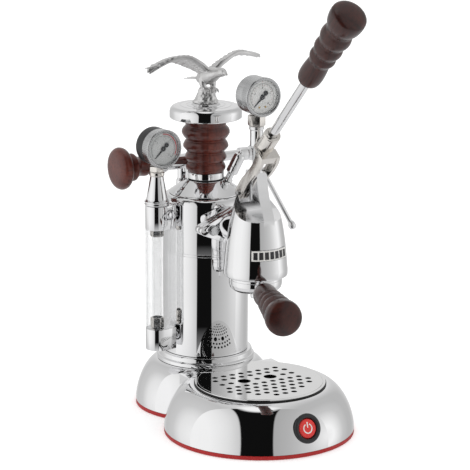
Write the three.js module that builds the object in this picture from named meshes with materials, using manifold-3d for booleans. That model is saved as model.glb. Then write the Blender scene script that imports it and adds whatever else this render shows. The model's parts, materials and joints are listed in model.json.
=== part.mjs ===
// A domestic lever espresso machine: a chromed base with a drip tray, an upright boiler with a
// turned wooden cap, a sight glass, a steam tap, and a piston group worked by a wooden lever.
// Millimetres, +Z up. The origin is where the boiler's axis meets the surface it stands on, and
// the group and the drip tray lie towards -Y.
import * as THREE from "three";
import { mergeVertices } from "three/addons/utils/BufferGeometryUtils.js";
import Module from "manifold-3d";

// ---- driving dimensions ----------------------------------------------------------------------
const GAP = 0.3; // between solids that touch
const FINENESS = 0.5; // how much of each round part's full smoothness this model keeps
const DRUM_R = 100; // front lobe of the base, which carries the drip tray
const DRUM_Y = -113;
const LOBE_R = 75.7; // rear lobe of the base, under the boiler
const BASE_TOP = 51.7;
const TRIM_H = 4.5;
const WALL = 2;
const TRAY_Y = -114.7;
const TRAY_R = 60; // the bowl under the grid
const GRID_R = 68.4;
const TRAY_EDGE_R = 69.4; // the tray's edge, which lies on the base and carries the grid
const TRAY_EDGE_TOP = 53;
const GRID_TOP = 54.5;
const BOILER_R = 46;
const BOILER_BOTTOM = 62.8;
const BOILER_TOP = 234.4;
const FOOT_R = 52.7; // ring under the boiler
const NECK_TOP = 248.7; // where the filler cap sits
const CAP_RING_R = 19.7;
const CAP_RING_TOP = 257.2;
const CAP_DISC_R = 38.6;
const CAP_DISC_BOTTOM = 315.2;
const CAP_DISC_TOP = 331.2;
const SIGHT_X = -65;
const SIGHT_Y = -10;
const SIGHT_R = 12.5;
const GAUGE_R = 20.5;
const BOILER_GAUGE_Z = 292;
const GROUP_GAUGE_Z = 356;
const VALVE_Y = 30;
const VALVE_Z = 263;
const WAND_TIP = new THREE.Vector3(116.5, 10, 179.3);
const GROUP_Y = -104; // axis of the piston group
const FLANGE_Z = 209.5;
const RIDGE_HALF = 6.2; // half the width of the ridge that stands on the group
const PIVOT_Y = -86;
const PIVOT_Z = 251;
const LEVER_TILT = 0.775; // the lever leans this far forward of upright, in radians
const LEVER_AXIS = 13.5; // the lever's centre line passes this far above its pivot
const HANDLE_START = 175.5; // along the lever, from the pivot
const HOLDER_TURN = 0.335; // the filter holder's handle stands this far left of straight ahead
const HOLDER_Z = 157.5; // height of the holder's handle
const GAUGE_DIAL = 0xd9dad6;

// ---- materials -------------------------------------------------------------------------------
const metal = (color, roughness) =>
  new THREE.MeshStandardMaterial({ color, roughness, metalness: 1 });
const matt = (color, roughness) =>
  new THREE.MeshStandardMaterial({ color, roughness, metalness: 0 });
const chrome = () => metal(0xe6e8ea, 0.06);
const steel = () => metal(0xb9bbbd, 0.25);
const nickel = () => metal(0xcfc6b8, 0.18);
const brass = () => metal(0xc9a24e, 0.3);
const wood = () => matt(0x5b2a20, 0.38);
const black = () => matt(0x171717, 0.45);
const red = () => matt(0xc8373a, 0.4);
const rubber = () => matt(0x2a2a2a, 0.8);
const clear = () => {
  const made = matt(0xe8eef0, 0.05);
  made.transparent = true;
  made.opacity = 0.35;
  return made;
};

// ---- solids ----------------------------------------------------------------------------------
const wasm = await Module();
wasm.setup();

function solid(geometry) {
  const bare = geometry.clone();
  bare.deleteAttribute("normal");
  bare.deleteAttribute("uv");
  const merged = mergeVertices(bare, 1e-3);
  const made = new wasm.Manifold(
    new wasm.Mesh({
      numProp: 3,
      vertProperties: merged.attributes.position.array,
      triVerts: new Uint32Array(merged.index.array),
    }),
  );
  return made;
}

function geometryOf(made) {
  const { vertProperties, triVerts } = made.getMesh();
  const geometry = new THREE.BufferGeometry();
  geometry.setAttribute("position", new THREE.BufferAttribute(vertProperties, 3));
  geometry.setIndex(new THREE.BufferAttribute(triVerts, 1));
  geometry.computeVertexNormals();
  return geometry;
}

// The first shape with the others joined on.
const join = (first, ...others) =>
  geometryOf(others.reduce((sum, other) => sum.add(solid(other)), solid(first)));

// The first shape with the others cut away.
const cut = (first, ...others) =>
  geometryOf(others.reduce((rest, other) => rest.subtract(solid(other)), solid(first)));

const common = (first, second) => geometryOf(solid(first).intersect(solid(second)));

// A solid of revolution about Z. The outline is a list of [radius, height] points, which starts
// and ends on the axis, or goes round a ring's section once.
function revolve(outline, segments = 40) {
  const points = outline.map(([r, z]) => new THREE.Vector2(r, z));
  if (THREE.ShapeUtils.area(points) < 0) points.reverse();
  const onAxis = outline[0][0] === 0;
  if (onAxis) {
    // Start the run at the lower point on the axis, so that the axis itself is left out.
    const onIt = points.filter((p) => p.x === 0);
    const low = onIt.reduce((a, b) => (b.y < a.y ? b : a));
    points.push(...points.splice(0, points.indexOf(low)));
  } else {
    points.push(points[0].clone());
  }
  const sides = Math.max(8, Math.round(segments * FINENESS));
  return new THREE.LatheGeometry(points, sides).rotateX(Math.PI / 2);
}

const disc = (radius, low, high, segments = 40) =>
  revolve([[0, low], [radius, low], [radius, high], [0, high]], segments);

const ring = (inner, outer, low, high, segments = 40) =>
  revolve([[inner, low], [outer, low], [outer, high], [inner, high]], segments);

// An outline of [x, y] points raised from one height to another.
function prism(outline, low, high) {
  const shape = new THREE.Shape(outline.map(([x, y]) => new THREE.Vector2(x, y)));
  return new THREE.ExtrudeGeometry(shape, { depth: high - low, bevelEnabled: false }).translate(0, 0, low);
}

// An outline of [y, z] points given a width along X, centred on x.
const slab = (outline, width, x = 0) =>
  prism(outline, -width / 2, width / 2)
    .rotateY(Math.PI / 2)
    .rotateX(Math.PI / 2)
    .translate(x, 0, 0);

const block = (width, depth, low, high) =>
  new THREE.BoxGeometry(width, depth, high - low).translate(0, 0, (low + high) / 2);

const hexagon = (acrossFlats, low, high) =>
  new THREE.CylinderGeometry(acrossFlats / Math.sqrt(3), acrossFlats / Math.sqrt(3), high - low, 6)
    .rotateX(Math.PI / 2)
    .translate(0, 0, (low + high) / 2);

const alongX = (geometry) => geometry.rotateY(Math.PI / 2);
const alongY = (geometry) => geometry.rotateX(-Math.PI / 2);

const arc = (cx, cy, radius, from, to, steps) =>
  Array.from({ length: steps + 1 }, (_, i) => {
    const angle = from + ((to - from) * i) / steps;
    return [cx + radius * Math.cos(angle), cy + radius * Math.sin(angle)];
  });

// A round bar along a smooth curve through the points.
function bar(points, radius, steps, sides = 8) {
  const circle = arc(0, 0, radius, 0, (2 * Math.PI * (sides - 1)) / sides, sides - 1);
  const section = new THREE.Shape(circle.map(([x, y]) => new THREE.Vector2(x, y)));
  const path = new THREE.CatmullRomCurve3(points);
  return new THREE.ExtrudeGeometry(section, { steps, extrudePath: path });
}

function part(name, geometry, material) {
  const mesh = new THREE.Mesh(geometry, material);
  mesh.name = name;
  return mesh;
}

const machine = new THREE.Group();

// ---- base ------------------------------------------------------------------------------------
// One lobe of the base: an upright foot that rounds over into a flat top.
function lobe(radius, flat, low, top, centreY, segments) {
  const ROUND = 0.85; // under 1, the shoulder is flatter than a quarter ellipse
  const STEPS = 5;
  const shoulder = Array.from({ length: STEPS + 1 }, (_, i) => {
    const angle = (Math.PI / 2) * (i / STEPS);
    const across = i === STEPS ? 0 : Math.cos(angle) ** (1 / ROUND);
    return [flat + (radius - flat) * across, low + (top - low) * Math.sin(angle) ** (1 / ROUND)];
  });
  return revolve([[0, low], ...shoulder, [0, top]], segments).translate(0, centreY, 0);
}

function baseBody(inset, low) {
  const top = BASE_TOP - inset;
  const drum = lobe(DRUM_R - inset, 72 - inset, low, top, DRUM_Y, 56);
  const rear = lobe(LOBE_R - inset, 52 - inset, low, top, 0, 48);
  const halfWidth = 57 - inset;
  const bridge = block(2 * halfWidth, 44, 32, top - 0.6).translate(0, -66 + inset, 0);
  return join(drum, rear, bridge);
}

const keyhole = (inset, low, high) =>
  join(
    disc(DRUM_R - inset, low, high, 56).translate(0, DRUM_Y, 0),
    disc(LOBE_R - inset, low, high, 48),
  );

// The power switch leans back with the wall it is let into.
const SWITCH_TILT = (72 * Math.PI) / 180;
const switchPlace = new THREE.Vector3(0, DRUM_Y - 93.2, 28);
const BEZEL_R = 15.5;
const BUTTON_R = 10.2;
const SCREW = [-49, -52]; // on the flat between the two lobes

function base() {
  const group = new THREE.Group();
  const switchHole = join(disc(BEZEL_R - 1.3, -14, 12, 28), disc(BEZEL_R + GAP, 0.4, 12, 28))
    .rotateX(SWITCH_TILT)
    .translate(switchPlace.x, switchPlace.y, switchPlace.z);
  const shell = cut(
    baseBody(0, TRIM_H + GAP),
    baseBody(WALL, TRIM_H - 1),
    disc(TRAY_R + 1.5, 30, 60, 48).translate(0, TRAY_Y, 0),
    disc(23.5, 40, 60, 28),
    switchHole,
    alongY(disc(7.4, 60, 90, 20)).translate(0, 0, 20),
    disc(2.6, 40, 60, 16).translate(...SCREW, 0),
  );
  const screw = join(
    disc(2.2, 43, BASE_TOP + 0.4, 16),
    disc(3.8, BASE_TOP - 0.3, BASE_TOP + 1.4, 20),
  ).translate(...SCREW, 0);
  const trim = cut(keyhole(0, 0, TRIM_H), keyhole(4, -1, TRIM_H + 1));
  const plate = join(
    cut(keyhole(4 + GAP, 1.2, 3.4), disc(12.5, 0, 4, 24)),
    disc(13, 0, 3.4, 24),
  );
  const gland = cut(
    join(alongY(disc(7, 70, 84, 20)), alongY(hexagon(17, 76.4, 80))),
    alongY(disc(3.6, 60, 90, 12)),
  ).translate(0, 0, 20);
  group.add(
    part("base_shell", shell, chrome()),
    part("base_trim", trim, red()),
    part("bottom_plate", plate, black()),
    part("base_screw", screw, steel()),
    part("power_cable_gland", gland, black()),
  );

  const powerSwitch = new THREE.Group();
  powerSwitch.position.copy(switchPlace);
  powerSwitch.rotation.x = SWITCH_TILT;
  const bezel = revolve(
    [
      [BUTTON_R + 0.5, -9], [13.6, -9], [13.6, 0.6], [BEZEL_R, 1], [BEZEL_R, 2.6], [14.2, 3.8],
      [11.6, 3.8], [BUTTON_R + 0.5, 2.4],
    ],
    28,
  );
  const button = revolve([[0, -6], [BUTTON_R, -6], [BUTTON_R, 1.6], [9, 2.4], [0, 2.8]], 28);
  powerSwitch.add(part("power_bezel", bezel, black()), part("power_button", button, red()));
  group.add(powerSwitch);
  return group;
}

// ---- drip tray and its grid ------------------------------------------------------------------
function dripTray() {
  const group = new THREE.Group();
  group.position.y = TRAY_Y;
  // The tray's edge and the grid are hollowed out where the boiler's foot ring stands.
  const besideFoot = disc(FOOT_R + 1, 50, 60, 48).translate(0, -TRAY_Y, 0);
  const bottom = 27;
  const thick = 2;
  const wall = cut(
    revolve(
      [
        [TRAY_R - thick, bottom], [TRAY_R, bottom], [TRAY_R, BASE_TOP + GAP],
        [TRAY_EDGE_R, BASE_TOP + GAP], [TRAY_EDGE_R, TRAY_EDGE_TOP], [TRAY_R - thick, TRAY_EDGE_TOP],
      ],
      48,
    ),
    besideFoot,
  );
  const floor = disc(TRAY_R - thick - GAP, bottom, bottom + thick, 48);
  const grid = cut(disc(GRID_R, TRAY_EDGE_TOP + GAP, GRID_TOP, 56), besideFoot, ...drainHoles());
  group.add(
    part("drip_tray", wall, black()),
    part("drip_tray_floor", floor, black()),
    part("drip_grid", grid, steel()),
  );
  return group;
}

// Small holes in staggered rows, and in one row two larger ones to lift the grid by.
function drainHoles() {
  const PITCH = 10.6;
  const ROW = 10.5;
  const FINGER_ROW = 6;
  const FINGER_SPACE = 14.2; // from the row with the finger holes to the rows beside it
  const FINGER_X = 15.9;
  const HOLE_R = 3.2;
  const FINGER_R = 7;
  const PATTERN_R = 52.5;
  const fingerHole = (side) => disc(FINGER_R, 40, 60, 28).translate(side * FINGER_X, FINGER_ROW, 0);
  const holes = [fingerHole(-1), fingerHole(1)];
  for (let row = -5; row <= 2; row++) {
    const steps = Math.abs(row) - 1;
    const y = FINGER_ROW + (row === 0 ? 0 : Math.sign(row) * (FINGER_SPACE + steps * ROW));
    const shift = row !== 0 && steps % 2 === 1 ? 0.5 : 0;
    for (let column = -5; column <= 5; column++) {
      const x = (column + shift) * PITCH;
      const fromFinger = Math.hypot(Math.abs(x) - FINGER_X, y - FINGER_ROW);
      if (Math.hypot(x, y) > PATTERN_R || fromFinger < FINGER_R + HOLE_R) continue;
      holes.push(disc(HOLE_R, 40, 60, 8).translate(x, y, 0));
    }
  }
  return holes;
}

// ---- boiler ----------------------------------------------------------------------------------
const shoulderOutline = (grow) => [
  [0, BOILER_TOP + GAP - grow], [39.2 + grow, BOILER_TOP + GAP - grow],
  [39.2 + grow, BOILER_TOP + 0.9 + grow], [20.4 + grow, NECK_TOP + grow], [0, NECK_TOP + grow],
];

function boiler() {
  const group = new THREE.Group();
  const footRing = revolve(
    [[22.2, 52], [51.5, 52], [FOOT_R, 53.4], [FOOT_R, 60.6], [51.4, 62.4], [22.2, 62.4]],
    48,
  );
  const round = [[46, 225.5], [45.2, 229.3], [43, 232.4], [39.6, BOILER_TOP]];
  const tube = revolve(
    [
      [BOILER_R, BOILER_BOTTOM], ...round, [30, BOILER_TOP], [30, BOILER_TOP - 1.6],
      [39.2, BOILER_TOP - 1.6], [42.2, 231.2], [44.3, 225.5], [BOILER_R - 1.7, BOILER_BOTTOM],
    ],
    48,
  );
  const shoulder = cut(
    revolve(shoulderOutline(0), 44),
    disc(15.4, 200, 260, 28),
    cone(29, 15.4, 233, 246),
  );
  group.add(
    part("boiler_foot_ring", footRing, chrome()),
    part("boiler_tube", tube, chrome()),
    part("boiler_shoulder", shoulder, chrome()),
    part("heating_element", heatingElement(), steel()),
  );
  return group;
}

const cone = (lowR, highR, low, high) => revolve([[0, low], [lowR, low], [highR, high], [0, high]], 28);

function heatingElement() {
  const legs = 12;
  const top = 118;
  const low = 64;
  const loop = bar(
    [
      [-legs, low], [-legs, 92], [-legs * 0.9, top - 6], [0, top], [legs * 0.9, top - 6], [legs, 92],
      [legs, low],
    ].map(([x, z]) => new THREE.Vector3(x, 0, z)),
    3.4,
    20,
  );
  return join(disc(21.6, 46, 66, 24), loop);
}

// ---- filler cap ------------------------------------------------------------------------------
// The turned barrel has four beads, each wider than the one under it.
function barrelOutline(low, high) {
  const WAIST = 18.6;
  const beads = [[262, 21.3], [272.3, 22.3], [284.5, 24.2], [299.3, 25.6]];
  const points = [[0, low], [19.2, low]];
  beads.forEach(([z, r], i) => {
    const waist = WAIST + i * 0.75;
    const reach = 3.6 + i * 0.45;
    for (const turn of [-1, -0.45, 0.45, 1]) {
      const angle = (turn * Math.PI) / 2;
      points.push([waist + (r - waist) * Math.cos(angle), z + reach * Math.sin(angle)]);
    }
  });
  points.push([21.8, 308.5], [23.6, high], [0, high]);
  return points;
}

function fillerCap() {
  const group = new THREE.Group();
  const ringPart = revolve(
    [
      [0, 240], [12, 240], [12, NECK_TOP + 1.3], [18.8, NECK_TOP + 1.3], [CAP_RING_R, NECK_TOP + 2],
      [CAP_RING_R, CAP_RING_TOP - 0.7], [19, CAP_RING_TOP], [0, CAP_RING_TOP],
    ],
    40,
  );
  const top = revolve(
    [
      [0, CAP_DISC_BOTTOM], [37.4, CAP_DISC_BOTTOM], [CAP_DISC_R, CAP_DISC_BOTTOM + 1.4],
      [CAP_DISC_R, 322.6], [37, 326.4], [33, 328.2], [22, 329], [14, CAP_DISC_TOP], [0, CAP_DISC_TOP],
    ],
    48,
  );
  const barrel = revolve(barrelOutline(CAP_RING_TOP + GAP, CAP_DISC_BOTTOM - GAP), 30);
  group.add(
    part("cap_gasket", ring(14, 19, NECK_TOP + GAP, NECK_TOP + 1, 28), rubber()),
    part("cap_ring", ringPart, chrome()),
    part("cap_barrel", barrel, wood()),
    part("cap_disc", top, chrome()),
    part("cap_bird", bird(), chrome()),
  );
  return group;
}

// A perched bird of prey with spread wings: it faces -Y, and the wings reach along X.
function bird() {
  const rock = cone(12.8, 8.5, CAP_DISC_TOP + GAP, 347);
  const body = new THREE.SphereGeometry(1, 12, 8).scale(8.6, 8.2, 17).rotateX(0.4).translate(0, -6, 359.5);
  const neck = cone(6.4, 4.6, 0, 20).rotateX(1.25).translate(0, -13, 363);
  const head = new THREE.SphereGeometry(5.4, 8, 6).scale(0.9, 1.2, 0.95).translate(0, -33, 368.5);
  const beak = cone(2.8, 0.5, 0, 9.5).rotateX(1.85).translate(0, -36.5, 368.5);
  const tail = slab([[-3, 357], [8, 351.5], [33, 349], [34, 351.5], [11, 357.5]], 12);
  const legs = cone(5.5, 5, 343, 356);
  const wings = [-1, 1].map((side) => wing(side));
  return join(body, rock, legs, neck, head, beak, tail, ...wings);
}

// One wing, thin at the tip, with a scalloped trailing edge and an arched span.
function wing(side) {
  const SPAN = 68;
  const FEATHERS = 5;
  const leading = [[2, -12], [22, -15], [44, -9], [SPAN, 10]];
  const trailing = [];
  for (let i = 0; i < FEATHERS; i++) {
    const x = 60 - i * 11;
    trailing.push([x, 17 - i * 0.8], [x - 5, 10 + i * 0.6]);
  }
  trailing.push([2, 8]);
  const plate = prism([...leading, ...trailing], -1.3, 1.3);
  const place = plate.attributes.position;
  for (let i = 0; i < place.count; i++) {
    const reach = place.getX(i) / SPAN;
    const lift = 24 * Math.sin(Math.PI * Math.min(reach * 0.86, 1) ** 0.8);
    place.setZ(i, place.getZ(i) * (1.6 - 0.9 * reach) + 364 + lift * 0.82 - 5 * reach);
  }
  return side > 0 ? plate : mirrored(plate);
}

// The same shape on the other side of X = 0, with its faces still turned outwards.
function mirrored(geometry) {
  const copy = geometry.clone();
  const place = copy.attributes.position;
  for (let i = 0; i < place.count; i++) place.setX(i, -place.getX(i));
  for (let i = 0; i < place.count; i += 3) {
    const held = new THREE.Vector3().fromBufferAttribute(place, i);
    place.setXYZ(i, place.getX(i + 1), place.getY(i + 1), place.getZ(i + 1));
    place.setXYZ(i + 1, held.x, held.y, held.z);
  }
  return copy;
}

// ---- pressure gauges -------------------------------------------------------------------------
// A gauge faces local +Z. Its needle at zero points down and to the left.
function gauge(prefix, depth) {
  const group = new THREE.Group();
  group.rotation.x = Math.PI / 2;
  const bore = 17.4;
  const shell = revolve(
    [
      [0, -depth], [19, -depth], [19.9, -depth + 1], [19.9, -2.8], [GAUGE_R, -2.5], [GAUGE_R, -0.6],
      [19.6, 0], [bore + 0.4, 0], [bore, -0.6], [bore, -4.6], [0, -4.6],
    ],
    36,
  );
  const needle = join(
    disc(2.2, -3, -2.4, 12),
    prism([[-0.9, -4.5], [0.9, -4.5], [0.35, 13.5], [-0.35, 13.5]], -2.9, -2.5).rotateZ((3 * Math.PI) / 4),
  );
  group.add(
    part(prefix + "_case", shell, steel()),
    part(prefix + "_dial", disc(bore - GAP, -4.3, -3.6, 36), matt(GAUGE_DIAL, 0.6)),
    part(prefix + "_needle", needle, black()),
    part(prefix + "_lens", disc(bore - GAP, -1.9, -0.8, 36), clear()),
  );
  return group;
}

// ---- sight glass column, with the boiler gauge on top ----------------------------------------
// In plan each block is a half round with straight sides that run to the boiler.
const columnPlan = (radius, reach) => [
  ...arc(0, 0, radius, Math.PI / 2, (3 * Math.PI) / 2, 14), [reach, -radius], [reach, radius],
];

function sightGlass() {
  const group = new THREE.Group();
  group.position.set(SIGHT_X, SIGHT_Y, 0);
  const column = new THREE.Group();
  column.rotation.z = Math.atan2(-SIGHT_Y, -SIGHT_X);
  const reach = 16;
  const glassR = 5;
  const stub = (z) => alongX(disc(6.5, 8, 19.1, 16)).translate(0, 0, z);
  const plan = columnPlan(SIGHT_R, reach);
  const upper = cut(join(prism(plan, 203.5, 229.3), stub(217)), disc(glassR + GAP, 200, 214.5, 16));
  const lower = cut(join(prism(plan, 72, 95), stub(84)), disc(glassR + GAP, 87, 100, 16));
  const cover = cut(
    prism(plan, 95 + GAP, 203.5 - GAP),
    prism(columnPlan(SIGHT_R - 1.4, reach + 4), 90, 210),
  );
  column.add(
    part("sight_block_upper", upper, chrome()),
    part("sight_block_lower", lower, chrome()),
    part("sight_glass_tube", ring(3.6, glassR, 87.4, 214, 16), clear()),
    part("sight_cover", cover, clear()),
  );
  const post = revolve(
    [
      [0, 229.6], [SIGHT_R, 229.6], [13.3, 230.6], [13.3, 233.6], [12.2, 234.6], [11.2, 236],
      [6.9, 260.8], [0, 260.8],
    ],
    28,
  );
  const nut = join(disc(7.6, 261.1, 265.6, 20), hexagon(14, 265.4, 271.4));
  const dial = gauge("boiler_gauge", 28);
  dial.position.set(0, -17.3, BOILER_GAUGE_Z);
  group.add(
    column,
    part("gauge_post", post, chrome()),
    part("boiler_gauge_nut", nut, nickel()),
    dial,
  );
  return group;
}

// ---- steam tap, wand and safety valve --------------------------------------------------------
// Turned parts on the tap's axis are given as [radius, x], with x from the boiler's centre plane.
function steamTap() {
  const group = new THREE.Group();
  group.position.set(0, VALVE_Y, VALVE_Z);
  const body = revolve(
    [
      [0, -53], [9.4, -53], [10.6, -51], [10.6, -36], [8.2, -31], [8.2, -4], [5.4, 0], [5.4, 58],
      [7.4, 60], [7.4, 67.6], [0, 67.6],
    ],
    24,
  );
  const stem = join(disc(5, -26.5, -2, 16), disc(6.4, -26.5, -20.4, 16)).translate(-12, 0, 0);
  const tap = cut(
    join(alongX(body), stem),
    alongX(disc(3.5, -60, -26, 14)),
    revolve(shoulderOutline(GAP), 44).translate(0, -VALVE_Y, -VALVE_Z),
  );
  const spindle = alongX(disc(3, -76, -28, 14));
  const knob = cut(
    alongX(
      revolve(
        [
          [0, -94.5], [12, -94.2], [19, -92.6], [22.3, -89], [22.6, -85.6], [20.5, -81.5], [15, -79],
          [12.6, -78], [13.4, -76.4], [14.8, -74], [14.2, -71.2], [11.6, -69.2], [10.6, -66], [11, -58],
          [9.4, -55.4], [0, -55.4],
        ],
        28,
      ),
    ),
    alongX(disc(3.3, -77, -40, 14)),
  );
  group.add(
    part("steam_tap_body", tap, chrome()),
    part("steam_spindle", spindle, brass()),
    part("steam_knob", knob, wood()),
  );

  // The wand hangs from a ball held in a socket that is open towards the wand.
  const ball = new THREE.Vector3(77, 0, 0);
  const place = new THREE.Vector3(0, VALVE_Y, VALVE_Z);
  const reach = WAND_TIP.clone().sub(place).sub(ball);
  const length = reach.length();
  const along = reach.clone().normalize();
  const turn = new THREE.Quaternion().setFromUnitVectors(new THREE.Vector3(0, 0, 1), along);
  const towardsTip = (geometry) => geometry.applyQuaternion(turn).translate(...ball);
  const sphere = (radius, around) => new THREE.SphereGeometry(radius, around, 8).translate(...ball);
  const socket = cut(
    join(alongX(disc(7.2, 68, 78, 20)), sphere(9, 12)),
    sphere(5.7, 12),
    towardsTip(cone(3.7, 10.6, 1.5, 14)),
  );
  const tip = revolve(
    [
      [0, length - 8], [2.6, length - 8], [4, length - 4], [4.2, length - 1], [3, length + 2],
      [0, length + 3],
    ],
    14,
  );
  const wand = join(sphere(5, 10), towardsTip(disc(2.6, 2, length - 2, 12)), towardsTip(tip));
  group.add(part("wand_joint", socket, chrome()), part("steam_wand", wand, chrome()));
  return group;
}

// The safety valve leans outwards from the boiler's sloping top.
function safetyValve() {
  const foot = new THREE.Vector3(18.6, -11, 243);
  const lean = new THREE.Vector3(13.8, -8.2, 34).normalize();
  const turn = new THREE.Quaternion().setFromUnitVectors(new THREE.Vector3(0, 0, 1), lean);
  const body = revolve(
    [
      [0, -4], [3.6, -4], [3.6, 12], [6.4, 14], [6.4, 33], [5.4, 35.5], [3, 36], [3, 39], [0, 39],
    ],
    20,
  )
    .applyQuaternion(turn)
    .translate(foot.x, foot.y, foot.z);
  return part("safety_valve", cut(body, revolve(shoulderOutline(GAP), 44)), chrome());
}

// ---- piston group ----------------------------------------------------------------------------
const bellOutline = (grow) => [
  [0, 166.8], [31.6 + grow, 166.8], [33.2 + grow, 168.6], [33.4 + grow, 173], [33 + grow, 178],
  [31.8 + grow, 192], [30.2 + grow, 206], [27.8 + grow, 221], [25.2 + grow, 233], [22.4 + grow, 244],
  [19 + grow, 254], [0, 260],
];

// Half of a diamond flange with rounded corners, as [x, z] points about its centre.
function diamond(halfLength, halfHeight, tipR) {
  const slope = Math.atan2(halfHeight - tipR, halfLength - tipR);
  const right = arc(halfLength - tipR, 0, tipR, -Math.PI / 2 + slope, Math.PI / 2 - slope, 6);
  const top = arc(0, 0, halfHeight, Math.PI / 2 - slope * 0.6, Math.PI / 2 + slope * 0.6, 4);
  const left = right.map(([x, z]) => [-x, -z]);
  const bottom = top.map(([x, z]) => [-x, -z]);
  return [...right, ...top, ...left, ...bottom];
}

// Plates that stand across Y between two places.
const upright = (outline, from, to) => prism(outline, -to, -from).rotateX(Math.PI / 2);

const BOLT_X = 29.5;
const FLANGE = diamond(44, 20, 5);

function pistonGroup() {
  const group = new THREE.Group();
  group.position.y = GROUP_Y;
  const pivot = [PIVOT_Y - GROUP_Y, PIVOT_Z];
  // The shoulders on both sides of the ridge sweep up towards the boiler.
  const sweepR = 46;
  const sweep = alongX(disc(sweepR, -40, 40, 90)).translate(0, -26, 228 + sweepR);
  const ridge = slab(
    [
      [-26.4, 220], [-26.4, 230.5], [-20.2, 243], [-14, 259], [-11, 277], [11, 277], [12.5, 262],
      ...arc(...pivot, 7, 1.9, -0.6, 6), [18, 236], [10, 222],
    ],
    2 * RIDGE_HALF,
  );
  const neck = alongY(disc(15, 20, 38, 28)).translate(0, 0, FLANGE_Z);
  const plate = upright(FLANGE, 37, 44).translate(0, 0, FLANGE_Z);
  const pocket = (from, to) => alongX(ring(0.5, 12.4, from, to, 28)).translate(0, ...pivot);
  const boltHole = (side) => alongY(disc(3.3, 30, 60, 14)).translate(side * BOLT_X, 0, 0);
  const bell = cut(
    join(cut(revolve(bellOutline(0), 48), sweep), ridge, neck, plate),
    pocket(RIDGE_HALF, 14),
    pocket(-14, -RIDGE_HALF),
    disc(28.1, 160, 175.3, 40),
    disc(26.9, 170, 216, 40),
    cone(26.9, 4.5, 215.9, 226),
    disc(4.5, 220, 290, 20),
    block(20, 5.6, 244, 290),
    alongX(disc(2.8, -20, 20, 16)).translate(0, ...pivot),
    boltHole(-1).translate(0, 0, FLANGE_Z),
    boltHole(1).translate(0, 0, FLANGE_Z),
  );
  const flange = cut(
    join(upright(FLANGE, 44 + GAP, 50.5), alongY(disc(16, 50, 60, 28))),
    alongY(disc(7, 30, 70, 16)),
    disc(BOILER_R + GAP, -60, 60, 64).translate(0, -GROUP_Y, 0),
    boltHole(-1),
    boltHole(1),
  ).translate(0, 0, FLANGE_Z);
  const bolt = () => join(alongY(hexagon(9, 32.4, 36.7)), alongY(disc(3, 34, 49, 12)));
  const badgeBand = cut(revolve(bellOutline(1.5), 72), revolve(bellOutline(GAP), 72));
  const badge = common(badgeBand, badgeWindow());
  group.add(
    part("group_bell", bell, chrome()),
    part("group_flange", flange, chrome()),
    part("flange_bolt_left", bolt().translate(-BOLT_X, 0, FLANGE_Z), steel()),
    part("flange_bolt_right", bolt().translate(BOLT_X, 0, FLANGE_Z), steel()),
    part("group_sleeve", ring(24.9, 26.6, 175.8, 215.6, 40), brass()),
    part("group_gasket", ring(24.4, 27.6, 172.5, 175, 32), rubber()),
    part("shower_screen", ring(1.2, 24, 172.9, 173.9, 32), steel()),
    part("group_badge", badge, steel()),
    pistonParts(),
  );
  return group;
}

// A block that keeps only the front 80 degrees of a band, between two heights.
function badgeWindow() {
  const half = (40 * Math.PI) / 180;
  const far = 50;
  const across = far * Math.sin(half);
  const ahead = far * Math.cos(half);
  return prism([[0, 0], [-across, -ahead], [across, -ahead]], 188.4, 200.4);
}

// The piston, its rod and the pressure gauge on the rod's end move as one.
function pistonParts() {
  const group = new THREE.Group();
  const piston = revolve(
    [
      [0, 199], [24.4, 199], [24.4, 202.6], [22, 202.6], [22, 206.4], [24.4, 206.4], [24.4, 210.5],
      [9, 210.5], [4.4, 212], [0, 212],
    ],
    36,
  );
  const bored = cut(piston, disc(4.2, 204, 214, 16));
  const rod = cut(disc(3.9, 204.4, 311.6, 16), alongX(disc(2.6, -6, 6, 12)).translate(0, 0, 272));
  const pinHalf = RIDGE_HALF + 0.4;
  const crossPin = alongX(disc(2.3, -pinHalf, pinHalf, 12)).translate(0, 0, 272);
  const post = cut(
    revolve([[0, 303], [6.1, 303], [6.8, 304], [6.8, 320.6], [7.8, 321.4], [7.8, 324.4], [0, 324.4]], 24),
    disc(4.2, 300, 312, 16),
  );
  const dial = gauge("group_gauge", 25);
  dial.position.set(0, -14.5, GROUP_GAUGE_Z);
  group.add(
    part("piston", bored, brass()),
    part("piston_seal", ring(22.6, 24.6, 202.9, 206.1, 32), rubber()),
    part("piston_rod", rod, steel()),
    part("rod_cross_pin", crossPin, steel()),
    part("rod_end_post", post, chrome()),
    part("group_gauge_nut", hexagon(16, 324.7, 335.7), nickel()),
    dial,
  );
  return group;
}

// ---- lever -----------------------------------------------------------------------------------
// Both wooden handles have this outline: a bell end, three beads and a wide domed end.
const handleOutline = [
  [0, 0], [7.4, 0.2], [11.6, 4], [12.6, 12], [11.2, 33], [13.6, 38.5], [13.6, 42], [12.2, 46.2],
  [14.4, 52], [14.6, 56.5], [12.8, 62.4], [15.6, 69.5], [15.9, 75], [13.8, 82], [17.6, 92], [18.5, 100],
  [18.3, 105], [12, 108.8], [0, 110],
];

const handle = (boreR, boreDepth) =>
  cut(revolve(handleOutline, 28), disc(boreR, -5, boreDepth, 20));

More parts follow.
